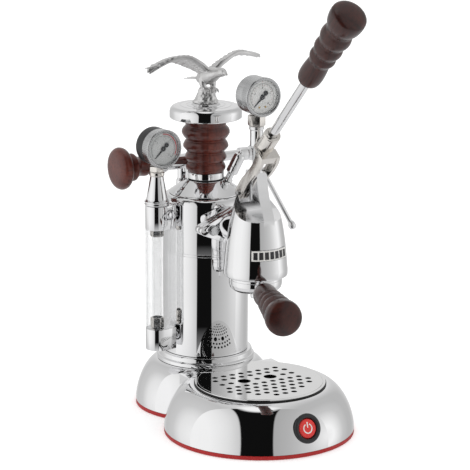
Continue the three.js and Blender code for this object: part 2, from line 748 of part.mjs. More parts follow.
// Local +Z runs up the lever, and local +Y is the side that faces the boiler.
function lever() {
  const group = new THREE.Group();
  group.position.set(0, PIVOT_Y, PIVOT_Z);
  group.rotation.x = LEVER_TILT;
  const cheek = (side) =>
    slab(
      [
        ...arc(0, 0, 6.2, -Math.PI, 0, 8), [7.4, 15], [5.6, 32], [5.6, 48], [9, 57], [9, 63.5],
        [-2.6, 65], [-5.6, 57], [-6, 42], [-4.4, 24], [-5.8, 7],
      ],
      3.6,
      side * 9,
    );
  const bridge = slab([[-4, 57.5], [19, 57.5], [19, 63.5], [-2.6, 65]], 18);
  const socket = disc(8.8, 60, 85, 24).translate(0, LEVER_AXIS, 0);
  // The gauge's post comes close behind the fork when the lever is all the way up.
  const UP = (-5 * Math.PI) / 180;
  const postWay = disc(7.1, 35, 110, 20)
    .translate(0, GROUP_Y - PIVOT_Y, 0)
    .rotateX(-(LEVER_TILT + UP));
  const fork = cut(
    join(cheek(-1), cheek(1), bridge, socket),
    postWay,
    disc(5.3, 79, 95, 20).translate(0, LEVER_AXIS, 0),
    alongX(disc(2.8, -20, 20, 16)),
  );
  const pin = join(alongX(disc(2.5, -12.6, 12.6, 14)), alongX(disc(4, 11.2, 13.4, 14)));
  const tube = disc(5, 79.4, HANDLE_START + 30, 20).translate(0, LEVER_AXIS, 0);
  group.add(
    part("lever_fork", fork, nickel()),
    part("lever_pivot_pin", pin, steel()),
    part("lever_tube", tube, chrome()),
    part("lever_handle", handle(5.3, 31).translate(0, LEVER_AXIS, HANDLE_START), wood()),
  );
  return group;
}

// ---- filter holder ---------------------------------------------------------------------------
function filterHolder() {
  const group = new THREE.Group();
  group.position.y = GROUP_Y;
  group.rotation.z = -HOLDER_TURN;
  const bowlR = 27.7;
  const bowl = join(
    revolve(
      [
        [3.2, 150.6], [19, 150.6], [24, 152], [26.8, 154.8], [bowlR, 158], [bowlR, 171.4],
        [25.4, 171.4], [25.4, 157], [22.6, 153.8], [3.2, 153.2],
      ],
      36,
    ),
    ring(3.2, 5.2, 142, 152, 18),
  );
  const ferruleEnd = 38.6;
  const ferrule = join(
    alongY(disc(8.4, -ferruleEnd, -34, 24)),
    alongY(disc(4.5, -62, -31, 20)),
    alongY(disc(5.6, -34.5, -bowlR + 0.8, 20)),
  ).translate(0, 0, HOLDER_Z);
  const holder = cut(join(bowl, ferrule), disc(25.4, 157, 175, 36));
  const SHORTER = 0.93; // this handle is a little shorter than the lever's
  const grip = handle(4.8, 27)
    .scale(1, 1, SHORTER)
    .rotateX(Math.PI / 2)
    .translate(0, -ferruleEnd - GAP, HOLDER_Z);
  const basket = revolve(
    [
      [0, 154.6], [21.4, 154.6], [23.8, 156.4], [24.2, 171.7], [26.6, 171.7], [26.6, 172.1],
      [23.6, 172.1], [23.2, 157], [21.2, 155.4], [0, 155.4],
    ],
    36,
  );
  group.add(
    part("filter_holder", holder, chrome()),
    part("filter_holder_handle", grip, wood()),
    part("filter_basket", basket, steel()),
  );
  return group;
}

machine.add(
  base(),
  dripTray(),
  boiler(),
  fillerCap(),
  sightGlass(),
  steamTap(),
  safetyValve(),
  pistonGroup(),
  lever(),
  filterHolder(),
);

export default machine;
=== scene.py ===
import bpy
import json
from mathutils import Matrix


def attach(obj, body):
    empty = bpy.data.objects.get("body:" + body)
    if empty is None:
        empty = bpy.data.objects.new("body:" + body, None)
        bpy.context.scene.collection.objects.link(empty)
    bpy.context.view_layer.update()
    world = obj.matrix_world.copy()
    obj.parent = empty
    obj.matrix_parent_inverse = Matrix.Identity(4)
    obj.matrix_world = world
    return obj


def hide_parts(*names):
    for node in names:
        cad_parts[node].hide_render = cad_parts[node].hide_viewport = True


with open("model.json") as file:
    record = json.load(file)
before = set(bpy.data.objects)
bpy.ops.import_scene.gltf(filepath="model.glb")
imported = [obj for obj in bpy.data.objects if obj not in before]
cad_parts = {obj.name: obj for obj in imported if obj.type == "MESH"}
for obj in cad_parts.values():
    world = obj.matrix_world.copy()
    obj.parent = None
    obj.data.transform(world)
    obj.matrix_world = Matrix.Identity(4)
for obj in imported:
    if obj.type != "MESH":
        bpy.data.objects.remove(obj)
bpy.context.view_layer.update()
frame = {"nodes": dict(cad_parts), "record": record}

import json
import math
import bpy
import bmesh
from mathutils import Matrix, Vector, noise

MM = 0.001
SCENE = bpy.context.scene
NODES = frame["nodes"]


# ---- camera ------------------------------------------------------------------------------------
def make_camera():
    data = bpy.data.cameras.new("camera")
    data.sensor_width = 36
    data.lens = 185.15
    data.shift_x, data.shift_y = 0.0019, 0.0184
    camera = bpy.data.objects.new("camera", data)
    place = Vector((-1.2586, -2.1805, 0.8185))
    look = (Vector((0, -0.06, 0.19)) - place).to_track_quat("-Z", "Y").to_matrix().to_4x4()
    camera.matrix_world = Matrix.Translation(place) @ look @ Matrix.Rotation(math.radians(0.263), 4, "Z")
    SCENE.collection.objects.link(camera)
    SCENE.camera = camera
    return math.atan2(place.y + 0.06, place.x)


camera_azimuth = make_camera()


# ---- node helpers ------------------------------------------------------------------------------
class Tree:
    """Adds nodes to a node tree and links their sockets."""

    def __init__(self, tree):
        self.tree = tree
        tree.nodes.clear()

    def add(self, kind, links=None, **values):
        node = self.tree.nodes.new("ShaderNode" + kind)
        for key, value in values.items():
            if hasattr(node, key):
                setattr(node, key, value)
            else:
                node.inputs[key.replace("_", " ")].default_value = value
        for socket, source in (links or {}).items():
            self.tree.links.new(source, node.inputs[socket])
        return node

    def math(self, operation, a, b=None):
        node = self.tree.nodes.new("ShaderNodeMath")
        node.operation = operation
        for i, value in enumerate((a, b)):
            if value is None:
                continue
            if isinstance(value, (int, float)):
                node.inputs[i].default_value = value
            else:
                self.tree.links.new(value, node.inputs[i])
        return node.outputs[0]

    def ramp(self, factor, stops):
        node = self.tree.nodes.new("ShaderNodeValToRGB")
        ramp = node.color_ramp
        while len(ramp.elements) < len(stops):
            ramp.elements.new(0.5)
        for element, (place, color) in zip(ramp.elements, stops):
            element.position = place
            if isinstance(color, (int, float)):
                color = (color, color, color)
            element.color = (*color, 1)
        self.tree.links.new(factor, node.inputs[0])
        return node.outputs[0]

    def scaled(self, factor, low, high, from_low=0.0, from_high=1.0):
        node = self.add("MapRange")
        for i, value in enumerate((from_low, from_high, low, high)):
            node.inputs[i + 1].default_value = value
        self.tree.links.new(factor, node.inputs[0])
        return node.outputs[0]


# ---- world, light and floor --------------------------------------------------------------------
def make_world():
    """A studio: pale soft boxes and cards around the machine, with a dark gap behind the camera."""
    world = bpy.data.worlds.new("studio")
    SCENE.world = world
    world.use_nodes = True
    t = Tree(world.node_tree)
    direction = t.add("TexCoord").outputs["Generated"]
    turned = t.add("Mapping", {"Vector": direction}, vector_type="VECTOR")
    turned.inputs["Rotation"].default_value = (0, 0, -camera_azimuth)
    split = t.add("SeparateXYZ", {"Vector": turned.outputs[0]})
    front, side, up = split.outputs["X"], split.outputs["Y"], split.outputs["Z"]
    # The walls run up and over, so each is as wide high up as it is at eye level.
    level = t.math("SQRT", t.math("SUBTRACT", 1.0, t.math("MULTIPLY", side, side)))
    ahead = t.math("MULTIPLY", level, t.math("SIGN", front))
    degrees = t.math("MULTIPLY", t.math("ARCTAN2", side, ahead), 180 / math.pi)
    around = t.math("DIVIDE", t.math("ADD", degrees, 180.0), 360)
    walls = [
        (-180, 0.75), (-150, 0.55), (-127, 0.62), (-111, 0.83), (-97, 0.90), (-85, 0.95), (-60, 0.95),
        (-45, 0.87), (-36, 0.80), (-28, 0.70),
        (-22.6, 0.64), (-21.6, 0.005), (15.6, 0.005), (16.6, 0.42), (34, 0.48), (45, 0.53), (58, 0.60),
        (71, 0.72), (85, 0.88), (101, 0.98),
        (121, 0.60), (136, 0.50), (150, 0.50), (180, 0.75),
    ]
    ring = t.ramp(around, [((angle + 180) / 360, value) for angle, value in walls])
    upper = t.add("MixRGB", {"Fac": t.scaled(up, 0.0, 1.0, 0.955, 0.985), "Color1": ring})
    upper.inputs["Color2"].default_value = (0.95, 0.95, 0.95, 1)
    low = t.add("MixRGB", {"Fac": t.scaled(up, 0.85, 0.0, -0.62, -0.36), "Color1": upper.outputs[0]})
    low.inputs["Color2"].default_value = (0.72, 0.72, 0.73, 1)
    seen = t.add("Background", {"Color": low.outputs[0]})
    soft = t.add("MixRGB", {"Fac": t.scaled(up, 0.0, 0.8, 0.1, 0.7), "Color1": ring})
    soft.inputs["Color2"].default_value = (1.45, 1.45, 1.45, 1)
    flat = t.add("Background", {"Color": soft.outputs[0]}, Strength=1.0)
    white = t.add("Background", Strength=1.0)
    white.inputs["Color"].default_value = (1, 1, 1, 1)
    path = t.add("LightPath")
    first = t.add("MixShader", {0: path.outputs["Is Diffuse Ray"], 1: seen.outputs[0], 2: flat.outputs[0]})
    second = t.add("MixShader", {0: path.outputs["Is Camera Ray"], 1: first.outputs[0], 2: white.outputs[0]})
    t.add("OutputWorld", {"Surface": second.outputs[0]})


def make_floor():
    mesh = bpy.data.meshes.new("floor")
    half = 3.0
    mesh.from_pydata(
        [(-half, -half, 0), (half, -half, 0), (half, half, 0), (-half, half, 0)], [], [(0, 1, 2, 3)]
    )
    floor = bpy.data.objects.new("floor", mesh)
    floor.location.z = -0.0001
    floor.visible_glossy = False
    mat = bpy.data.materials.new("floor")
    mat.use_nodes = True
    t = Tree(mat.node_tree)
    shader = t.add("BsdfPrincipled", Roughness=0.9)
    shader.inputs["Base Color"].default_value = (0.86, 0.86, 0.86, 1)
    shader.inputs["Specular IOR Level"].default_value = 0
    shader.inputs["Emission Color"].default_value = (1, 1, 1, 1)
    shader.inputs["Emission Strength"].default_value = 0.30
    t.add("OutputMaterial", {"Surface": shader.outputs[0]})
    mesh.materials.append(mat)
    SCENE.collection.objects.link(floor)


make_world()
make_floor()
SCENE.view_settings.view_transform = "Standard"


# ---- materials ---------------------------------------------------------------------------------
def shader_of(name):
    mat = bpy.data.materials.new(name)
    mat.use_nodes = True
    t = Tree(mat.node_tree)
    shader = t.add("BsdfPrincipled")
    t.add("OutputMaterial", {"Surface": shader.outputs[0]})
    place = t.add("TexCoord").outputs["Object"]
    return mat, t, shader, place


def noise_of(t, place, scale, detail=3.0, stretch=(1, 1, 1), distortion=0.0):
    mapped = t.add("Mapping", {"Vector": place})
    mapped.inputs["Scale"].default_value = stretch
    node = t.add("TexNoise", {"Vector": mapped.outputs[0]}, Scale=scale, Detail=detail, Distortion=distortion)
    return node.outputs["Fac"]


def bump_of(t, shader, height, strength, distance):
    node = t.add("Bump", {"Height": height}, Strength=strength, Distance=distance)
    t.tree.links.new(node.outputs[0], shader.inputs["Normal"])


def polished(name, color, smooth, rough, tint=0.03):
    """Polished metal: its gloss and colour vary a little, as handling leaves them."""
    mat, t, shader, place = shader_of(name)
    shader.inputs["Metallic"].default_value = 1
    patches = noise_of(t, place, 45, 4)
    t.tree.links.new(t.scaled(patches, smooth, rough, 0.35, 0.75), shader.inputs["Roughness"])
    cool = [c * (1 - tint) for c in color]
    t.tree.links.new(
        t.ramp(noise_of(t, place, 18, 2), [(0.35, cool), (0.65, color)]), shader.inputs["Base Color"]
    )
    return mat


def brushed(name, color, stretch):
    """Steel with fine parallel scratches."""
    mat, t, shader, place = shader_of(name)
    shader.inputs["Metallic"].default_value = 1
    lines = noise_of(t, place, 900, 4, stretch)
    t.tree.links.new(t.scaled(lines, 0.18, 0.36, 0.3, 0.7), shader.inputs["Roughness"])
    dark = [c * 0.82 for c in color]
    t.tree.links.new(t.ramp(lines, [(0.3, dark), (0.7, color)]), shader.inputs["Base Color"])
    bump_of(t, shader, lines, 0.12, 0.00005)
    return mat


def cast(name, color, low, high, strength, scale=420):
    """Metal with the faint grain of a casting."""
    mat, t, shader, place = shader_of(name)
    shader.inputs["Metallic"].default_value = 1
    grain = noise_of(t, place, scale, 5)
    t.tree.links.new(t.scaled(grain, low, high, 0.3, 0.7), shader.inputs["Roughness"])
    dark = [c * 0.88 for c in color]
    t.tree.links.new(
        t.ramp(noise_of(t, place, 60, 3), [(0.35, dark), (0.65, color)]), shader.inputs["Base Color"]
    )
    bump_of(t, shader, grain, strength, 0.0001)
    return mat


def turned_wood(name, depth):
    """Polished rosewood, with its grain along local Z. depth darkens it."""
    mat, t, shader, place = shader_of(name)
    bands = noise_of(t, place, 30, 5, (1, 1, 0.16), 1.2)
    pores = noise_of(t, place, 420, 3, (1, 1, 0.05))
    tones = [
        (0.28, (0.040, 0.008, 0.006)), (0.45, (0.095, 0.018, 0.012)), (0.58, (0.130, 0.027, 0.017)),
        (0.74, (0.185, 0.045, 0.028))
    ]
    color = t.ramp(bands, [(at_, [c * depth for c in tone]) for at_, tone in tones])
    dark = t.add("MixRGB", {"Fac": t.scaled(pores, 0.40, 0.0, 0.34, 0.5), "Color1": color})
    dark.inputs["Color2"].default_value = (0.014, 0.005, 0.004, 1)
    t.tree.links.new(dark.outputs[0], shader.inputs["Base Color"])
    t.tree.links.new(t.scaled(pores, 0.40, 0.30, 0.3, 0.6), shader.inputs["Roughness"])
    shader.inputs["Specular IOR Level"].default_value = 0.35
    shader.inputs["Coat Weight"].default_value = 0.55
    shader.inputs["Coat Roughness"].default_value = 0.16
    bump_of(t, shader, pores, 0.12, 0.0001)
    return mat


def moulded(name, color, low, high, scale=900, strength=0.15):
    """Plastic, rubber or paint with a fine surface grain."""
    mat, t, shader, place = shader_of(name)
    grain = noise_of(t, place, scale, 3)
    t.tree.links.new(t.scaled(grain, low, high, 0.3, 0.7), shader.inputs["Roughness"])
    dark = [c * 0.86 for c in color]
    t.tree.links.new(
        t.ramp(noise_of(t, place, 120, 3), [(0.3, dark), (0.7, color)]), shader.inputs["Base Color"]
    )
    bump_of(t, shader, grain, strength, 0.0001)
    return mat


def see_through(name, color, face, edge):
    """Thin clear plastic or glass: it is denser where it is seen edge on."""
    mat, t, shader, place = shader_of(name)
    shader.inputs["Base Color"].default_value = (*color, 1)
    haze = noise_of(t, place, 160, 3)
    slant = t.add("LayerWeight", Blend=0.35).outputs["Facing"]
    alpha = t.scaled(t.math("POWER", slant, 3.0), face, edge)
    t.tree.links.new(t.math("MULTIPLY", alpha, t.scaled(haze, 0.9, 1.1, 0.4, 0.6)), shader.inputs["Alpha"])
    t.tree.links.new(t.scaled(haze, 0.02, 0.05, 0.4, 0.8), shader.inputs["Roughness"])
    shader.inputs["Coat Weight"].default_value = 0.4
    return mat


MATERIALS = {
    "chrome": polished("chrome", (0.93, 0.93, 0.935), 0.015, 0.05),
    "steel": brushed("steel", (0.66, 0.665, 0.67), (1, 1, 0.04)),
    "nickel": cast("nickel", (0.90, 0.865, 0.82), 0.14, 0.24, 0.08),
    "brass": cast("brass", (0.72, 0.50, 0.20), 0.18, 0.32, 0.12),
    "wood": turned_wood("wood", 1.0),
    "black_plastic": moulded("black_plastic", (0.022, 0.022, 0.024), 0.34, 0.5),
    "tray_black": moulded("tray_black", (0.014, 0.014, 0.015), 0.45, 0.62),
    "red_plastic": moulded("red_plastic", (0.70, 0.035, 0.030), 0.22, 0.32),
    "red_trim": moulded("red_trim", (0.44, 0.006, 0.006), 0.40, 0.55),
    "seal": moulded("seal", (0.018, 0.018, 0.018), 0.6, 0.8),
    "clear": see_through("clear", (0.42, 0.44, 0.46), 0.07, 0.9),
    "dial": moulded("dial", (0.62, 0.63, 0.62), 0.45, 0.6, 700, 0.05),
    "needle": moulded("needle", (0.010, 0.010, 0.010), 0.4, 0.5),
}
DARK_WOOD = turned_wood("dark_wood", 0.42)
CAST_CHROME = cast("cast_chrome", (0.83, 0.825, 0.82), 0.30, 0.44, 0.45, 300)
SOFT_CHROME = polished("soft_chrome", (0.95, 0.95, 0.955), 0.10, 0.18)
GRID_STEEL = polished("grid_steel", (0.88, 0.878, 0.875), 0.03, 0.07)
WHITE_DIAL = moulded("white_dial", (0.86, 0.86, 0.84), 0.4, 0.5, 700, 0.05)
RED_PRINT = moulded("red_print", (0.62, 0.045, 0.05), 0.4, 0.5)
CREAM = moulded("cream", (0.80, 0.79, 0.76), 0.3, 0.4)
TILE = moulded("tile", (0.030, 0.030, 0.032), 0.2, 0.3)


# ---- shapes, all in millimetres ----------------------------------------------------------------
def finish_mesh(mesh, angle=32):
    for face in mesh.polygons:
        face.use_smooth = True
    mesh.set_sharp_from_angle(angle=math.radians(angle))


def shape(name, verts, faces, place=None, angle=32):
    """An object from vertices in millimetres; place is a matrix in millimetres."""
    mesh = bpy.data.meshes.new(name)
    mesh.from_pydata([Vector(v) * MM for v in verts], [], faces)
    made = bmesh.new()
    made.from_mesh(mesh)
    bmesh.ops.recalc_face_normals(made, faces=made.faces)
    made.to_mesh(mesh)
    made.free()
    finish_mesh(mesh, angle)
    piece = bpy.data.objects.new(name, mesh)
    SCENE.collection.objects.link(piece)
    if place is not None:
        piece.matrix_world = in_metres(place)
    return piece


def in_metres(place):
    matrix = place.copy()
    matrix.translation = place.translation * MM
    return matrix


def at(x=0.0, y=0.0, z=0.0):
    return Matrix.Translation((x, y, z))


def turn(angle, axis):
    return Matrix.Rotation(angle, 4, axis)


def towards(direction):
    """Turns local +Z to a direction."""
    return Vector((0, 0, 1)).rotation_difference(Vector(direction).normalized()).to_matrix().to_4x4()


def spline(points, steps=4):
    """A smooth curve through 2-D or 3-D points."""
    pts = [Vector(p) for p in points]
    out = []
    for i in range(len(pts) - 1):
        a, b, c, d = pts[max(i - 1, 0)], pts[i], pts[i + 1], pts[min(i + 2, len(pts) - 1)]
        for k in range(steps):
            u = k / steps
            out.append(
                0.5 * (
                    (2 * b) + (c - a) * u + (2 * a - 5 * b + 4 * c - d) * u * u
                    + (3 * b - a - 3 * c + d) * u ** 3
                )
            )
    out.append(pts[-1])
    return [tuple(p) for p in out]


def eased(outline, radius, closed, steps=3):
    """The outline with its corners rounded off."""
    pts = [Vector(p) for p in outline]
    out = []
    last = len(pts) - 1
    for i, p in enumerate(pts):
        if not closed and i in (0, last):
            out.append(tuple(p))
            continue
        before, after = pts[i - 1] - p, pts[(i + 1) % len(pts)] - p
        if before.length < 1e-6 or after.length < 1e-6 or abs(before.angle(after) - math.pi) < 0.14:
            out.append(tuple(p))
            continue
        reach = min(radius, before.length * 0.42, after.length * 0.42)
        a, b = p + before.normalized() * reach, p + after.normalized() * reach
        for k in range(steps + 1):
            u = k / steps
            out.append(tuple(a * (1 - u) ** 2 + p * 2 * u * (1 - u) + b * u * u))
    return out


def lathe(name, outline, steps=96, place=None, ease=0.5, angle=32):
    """A turned shape about local Z, from [radius, height] points."""
    on_axis = outline[0][0] == 0 and outline[-1][0] == 0
    points = eased(outline, ease, not on_axis) if ease else [tuple(p) for p in outline]
    verts, rings = [], []
    for r, z in points:
        if r < 1e-4:
            rings.append([len(verts)] * steps)
            verts.append((0, 0, z))
            continue
        rings.append(list(range(len(verts), len(verts) + steps)))
        verts += [
            (r * math.cos(2 * math.pi * k / steps), r * math.sin(2 * math.pi * k / steps), z)
            for k in range(steps)
        ]
    pairs = list(zip(rings, rings[1:]))
    if not on_axis:
        pairs.append((rings[-1], rings[0]))
    faces = []
    for low, high in pairs:
        for k in range(steps):
            corners = [low[k], low[(k + 1) % steps], high[(k + 1) % steps], high[k]]
            corners = list(dict.fromkeys(corners))
            if len(corners) > 2:
                faces.append(corners)
    return shape(name, verts, faces, place, angle)


def disc_shape(name, radius, low, high, steps=64, place=None, ease=0.0):
    return lathe(name, [(0, low), (radius, low), (radius, high), (0, high)], steps, place, ease)


def prism(name, outline, low, high, place=None, bevel=0.0, angle=32):
    """An outline in local XY raised from one height to another."""
    n = len(outline)
    verts = [(x, y, low) for x, y in outline] + [(x, y, high) for x, y in outline]
    faces = [list(range(n))[::-1], list(range(n, 2 * n))]
    faces += [[i, (i + 1) % n, n + (i + 1) % n, n + i] for i in range(n)]
    piece = shape(name, verts, faces, place, angle)
    if bevel:
        soften(piece, bevel)
    return piece


def slab(name, outline, width, x=0.0, place=None, bevel=0.0):
    """A [y, z] outline given a width along X."""
    frame_of = (place or Matrix()) @ Matrix(((0, 0, 1, x), (1, 0, 0, 0), (0, 1, 0, 0), (0, 0, 0, 1)))
    return prism(name, outline, -width / 2, width / 2, frame_of, bevel)


def arc(cx, cy, radius, start, end, steps):
    return [
        (
            cx + radius * math.cos(start + (end - start) * i / steps),
            cy + radius * math.sin(start + (end - start) * i / steps)
        )
        for i in range(steps + 1)
    ]


def apply_modifiers(piece, angle=32):
    graph = bpy.context.evaluated_depsgraph_get()
    mesh = bpy.data.meshes.new_from_object(piece.evaluated_get(graph))
    piece.modifiers.clear()
    old, piece.data = piece.data, mesh
    bpy.data.meshes.remove(old)
    finish_mesh(mesh, angle)


def soften(piece, width, segments=2, limit=35):
    """Rounds off the sharp edges."""
    step = piece.modifiers.new("edges", "BEVEL")
    step.width = width * MM
    step.segments = segments
    step.limit_method = "ANGLE"
    step.angle_limit = math.radians(limit)
    step.use_clamp_overlap = True
    apply_modifiers(piece)


def combine(piece, others, operation="DIFFERENCE"):
    for other in others:
        step = piece.modifiers.new("cut", "BOOLEAN")
        step.operation = operation
        step.object = other
        step.solver = "EXACT"
    bpy.context.view_layer.update()
    apply_modifiers(piece)
    for other in others:
        bpy.data.objects.remove(other)
    return piece


def joined(name, pieces):
    """One object from several, each keeping its shape."""
    mesh = bpy.data.meshes.new(name)
    made = bmesh.new()
    first = pieces[0].matrix_world.copy()
    materials = []
    for piece in pieces:
        start = len(made.faces)
        shift = first.inverted() @ piece.matrix_world
        part_mesh = piece.data.copy()
        part_mesh.transform(shift)
        made.from_mesh(part_mesh)
        made.faces.ensure_lookup_table()
        for mat in part_mesh.materials or [None]:
            if mat not in materials:
                materials.append(mat)
        index = materials.index(part_mesh.materials[0] if part_mesh.materials else None)
        for face in made.faces[start:]:
            face.material_index = index
        bpy.data.meshes.remove(part_mesh)
    made.to_mesh(mesh)
    made.free()
    for mat in filter(None, materials):
        mesh.materials.append(mat)
    whole = bpy.data.objects.new(name, mesh)
    whole.matrix_world = first
    SCENE.collection.objects.link(whole)
    for piece in pieces:
        bpy.data.objects.remove(piece)
    finish_mesh(mesh)
    return whole


def painted(piece, mat):
    piece.data.materials.clear()
    piece.data.materials.append(mat)
    return piece


def keep(piece, body, slot, *nodes, mat=None):
    """Finishes a piece: its material, the body it rides on, and the solids it stands for."""
    if not piece.data.materials:
        piece.data.materials.append(mat or MATERIALS[slot])
    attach(piece, body)
    if nodes:
        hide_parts(*nodes)
    return piece


def loft(name, rings, place=None, sides=16):
    """A closed skin over elliptical rings: (centre, half-axis, other half-axis)."""
    verts, faces = [], []
    for centre, u, v in rings:
        c, u, v = Vector(centre), Vector(u), Vector(v)
        verts += [
            c + u * math.cos(2 * math.pi * k / sides) + v * math.sin(2 * math.pi * k / sides)
            for k in range(sides)
        ]
    for i in range(len(rings) - 1):
        for k in range(sides):
            a, b = i * sides + k, i * sides + (k + 1) % sides
            faces.append([a, b, b + sides, a + sides])
    faces.append(list(range(sides))[::-1])
    faces.append(list(range(len(verts) - sides, len(verts))))
    return shape(name, verts, faces, place, 60)


def rod(name, points, radius, sides=24, steps=6):
    """A round bar along a smooth curve. radius is one number, or one for each point."""
    path = [Vector(p) for p in (spline(points, steps) if len(points) > 2 else points)]
    radii = radius if isinstance(radius, (list, tuple)) else [radius] * len(points)
    rings = []
    side = None
    for i, p in enumerate(path):
        along = (path[min(i + 1, len(path) - 1)] - path[max(i - 1, 0)]).normalized()
        if side is None:
            side = along.orthogonal().normalized()
        side = (side - along * side.dot(along)).normalized()
        share = i / (len(path) - 1) * (len(radii) - 1)
        low = min(int(share), len(radii) - 2)
        r = radii[low] + (radii[low + 1] - radii[low]) * (share - low)
        rings.append((p, side * r, along.cross(side) * r))
    return loft(name, rings, None, sides)


# ---- base --------------------------------------------------------------------------------------
DRUM_Y = -113
TRAY_Y = -114.7
BASE_TOP = 51.7


def shoulder(radius, flat, low, top, steps=22):
    round_off = 1 / 0.85
    points = []
    for i in range(steps + 1):
        s = math.pi / 2 * i / steps
        across = max(math.cos(s), 0) ** round_off
        points.append((flat + (radius - flat) * across, low + (top - low) * math.sin(s) ** round_off))
    return points


def base_solid(inset, low, steps):
    top = BASE_TOP - inset
    drum = [(0, low)] + shoulder(100 - inset, 72 - inset, low, top) + [(0, top)]
    rear = [(0, low)] + shoulder(75.7 - inset, 52 - inset, low, top - 0.02) + [(0, top - 0.02)]
    body = lathe("body", drum, steps, at(0, DRUM_Y), 0)
    lobe = lathe("lobe", rear, steps, None, 0)
    half = 57 - inset
    bridge = prism("bridge", [(-half, -88), (half, -88), (half, -44), (-half, -44)], 30, top - 0.6)
    return combine(body, [lobe, bridge], "UNION")


def keyhole_solid(inset, low, high, steps=160):
    drum = disc_shape("drum", 100 - inset, low, high, steps, at(0, DRUM_Y))
    return combine(drum, [disc_shape("lobe", 75.7 - inset, low, high, steps)], "UNION")


SWITCH = at(0, DRUM_Y - 93.2, 28) @ turn(math.radians(72), "X")


def make_base():
    shell = base_solid(0, 4.8, 192)
    inner = base_solid(2, 3.0, 96)
    holes = [
        inner,
        disc_shape("well", 62, 30, 60, 128, at(0, TRAY_Y)),
        disc_shape("neck", 23.5, 40, 60, 48),
        disc_shape("switch_hole", 14.2, -14, 12, 64, SWITCH),
        disc_shape("inlet", 7.4, 60, 90, 32, at(0, 0, 20) @ turn(-math.pi / 2, "X")),
        disc_shape("screw_hole", 2.6, 40, 60, 24, at(-49, -52)),
    ]
    shell = combine(shell, holes)
    shell.name = "chrome_base"
    soften(shell, 0.35, 2, 50)
    keep(shell, "machine", "chrome", "base_shell")
    trim = combine(keyhole_solid(0, 0.5, 4.5), [keyhole_solid(4, -1, 6)])
    trim.name = "red_trim_strip"
    soften(trim, 0.5, 3, 50)
    keep(trim, "machine", "red_trim", "base_trim")
    head = lathe(
        "screw_head", [(0, 51.5), (3.8, 51.5), (3.8, 52.3), (3.0, 53.1), (0, 53.2)], 40, at(-49, -52), 0.3
    )
    slot = prism(
        "slot", [(-4, -0.4), (4, -0.4), (4, 0.4), (-4, 0.4)], 52.6, 54, at(-49, -52) @ turn(0.6, "Z")
    )
    keep(combine(head, [slot]), "machine", "steel", "base_screw")

    bezel = lathe(
        "switch_bezel",
        [
            (10.7, -9), (13.6, -9), (13.6, 0.6), (15.5, 0.9), (15.5, 2.2), (14.6, 3.5), (12.6, 3.9),
            (11.4, 3.6), (10.7, 2.2)
        ],
        96, SWITCH, 0.6,
    )
    keep(bezel, "machine", "black_plastic", "power_bezel")
    button = lathe(
        "switch_button", [(0, -6), (10.2, -6), (10.2, 1.5), (9.4, 2.35), (6, 2.7), (0, 2.8)], 80, SWITCH,
        0.5
    )
    painted(button, MATERIALS["red_plastic"])
    # A plain power sign: an open ring and a bar.
    sign = arc(0, 0, 5.4, math.radians(118), math.radians(422), 36)
    inner_arc = [(x * 0.78, y * 0.78) for x, y in reversed(sign)]
    ring = painted(prism("sign_ring", sign + inner_arc, 2.45, 2.86, SWITCH), CREAM)
    bar = painted(
        prism("sign_bar", [(-0.6, 0.9), (0.6, 0.9), (0.6, 6.6), (-0.6, 6.6)], 2.45, 2.88, SWITCH), CREAM
    )
    keep(
        joined("switch_button_with_sign", [button, ring, bar]), "power_button", "red_plastic",
        "power_button"
    )


# ---- drip tray ---------------------------------------------------------------------------------
def bitten(radius, bite, steps):
    """A circle about the tray's centre, less the circle of the boiler's foot ring."""
    centre = Vector((0, -TRAY_Y))
    points = []
    outer = [
        Vector((radius * math.sin(a), radius * math.cos(a)))
        for a in (2 * math.pi * (i + 0.5) / steps for i in range(steps))
    ]
    free = [p for p in outer if (p - centre).length > bite]
    along = (radius ** 2 + centre.y ** 2 - bite ** 2) / (2 * centre.y)
    half = math.sqrt(radius ** 2 - along ** 2)
    reach = math.atan2(half, centre.y - along)
    for i in range(25):
        a = -reach + 2 * reach * i / 24
        points.append((bite * math.sin(a), centre.y - bite * math.cos(a)))
    return points + [tuple(p) for p in free]


def grid_holes():
    """Small holes in staggered rows, and in one row two larger ones to lift the grid by."""
    holes = [(-15.9, 6.0, 7.0), (15.9, 6.0, 7.0)]
    for row in range(-5, 3):
        steps = abs(row) - 1
        y = 6.0 + (0 if row == 0 else math.copysign(14.2 + steps * 10.5, row))
        shift = 0.5 if row != 0 and steps % 2 == 1 else 0.0
        for column in range(-5, 6):
            x = (column + shift) * 10.6
            if math.hypot(x, y) < 52.5 and math.hypot(abs(x) - 15.9, y - 6.0) > 10.2:
                holes.append((x, y, 3.25))
    return holes


def pierced_plate(name, outline, holes, low, high, place, edge, gaps=()):
    curve = bpy.data.curves.new(name, "CURVE")
    curve.dimensions = "2D"
    curve.fill_mode = "BOTH"
    curve.extrude = (high - low) / 2 * MM - edge * MM
    curve.bevel_depth = edge * MM
    curve.bevel_resolution = 2
    loops = [outline, *gaps] + [
        [(x + r * math.cos(k * math.pi / 14), y + r * math.sin(k * math.pi / 14)) for k in range(28)] for x,
        y, r in holes
    ]
    for loop in loops:
        spline_of = curve.splines.new("POLY")
        spline_of.points.add(len(loop) - 1)
        for point, (x, y) in zip(spline_of.points, loop):
            point.co = (x * MM, y * MM, 0, 1)
        spline_of.use_cyclic_u = True
    holder = bpy.data.objects.new(name, curve)
    SCENE.collection.objects.link(holder)
    mesh = bpy.data.meshes.new_from_object(holder.evaluated_get(bpy.context.evaluated_depsgraph_get()))
    bpy.data.objects.remove(holder)
    piece = bpy.data.objects.new(name, mesh)
    SCENE.collection.objects.link(piece)
    piece.matrix_world = in_metres(place @ at(0, 0, (low + high) / 2))
    finish_mesh(mesh)
    return piece


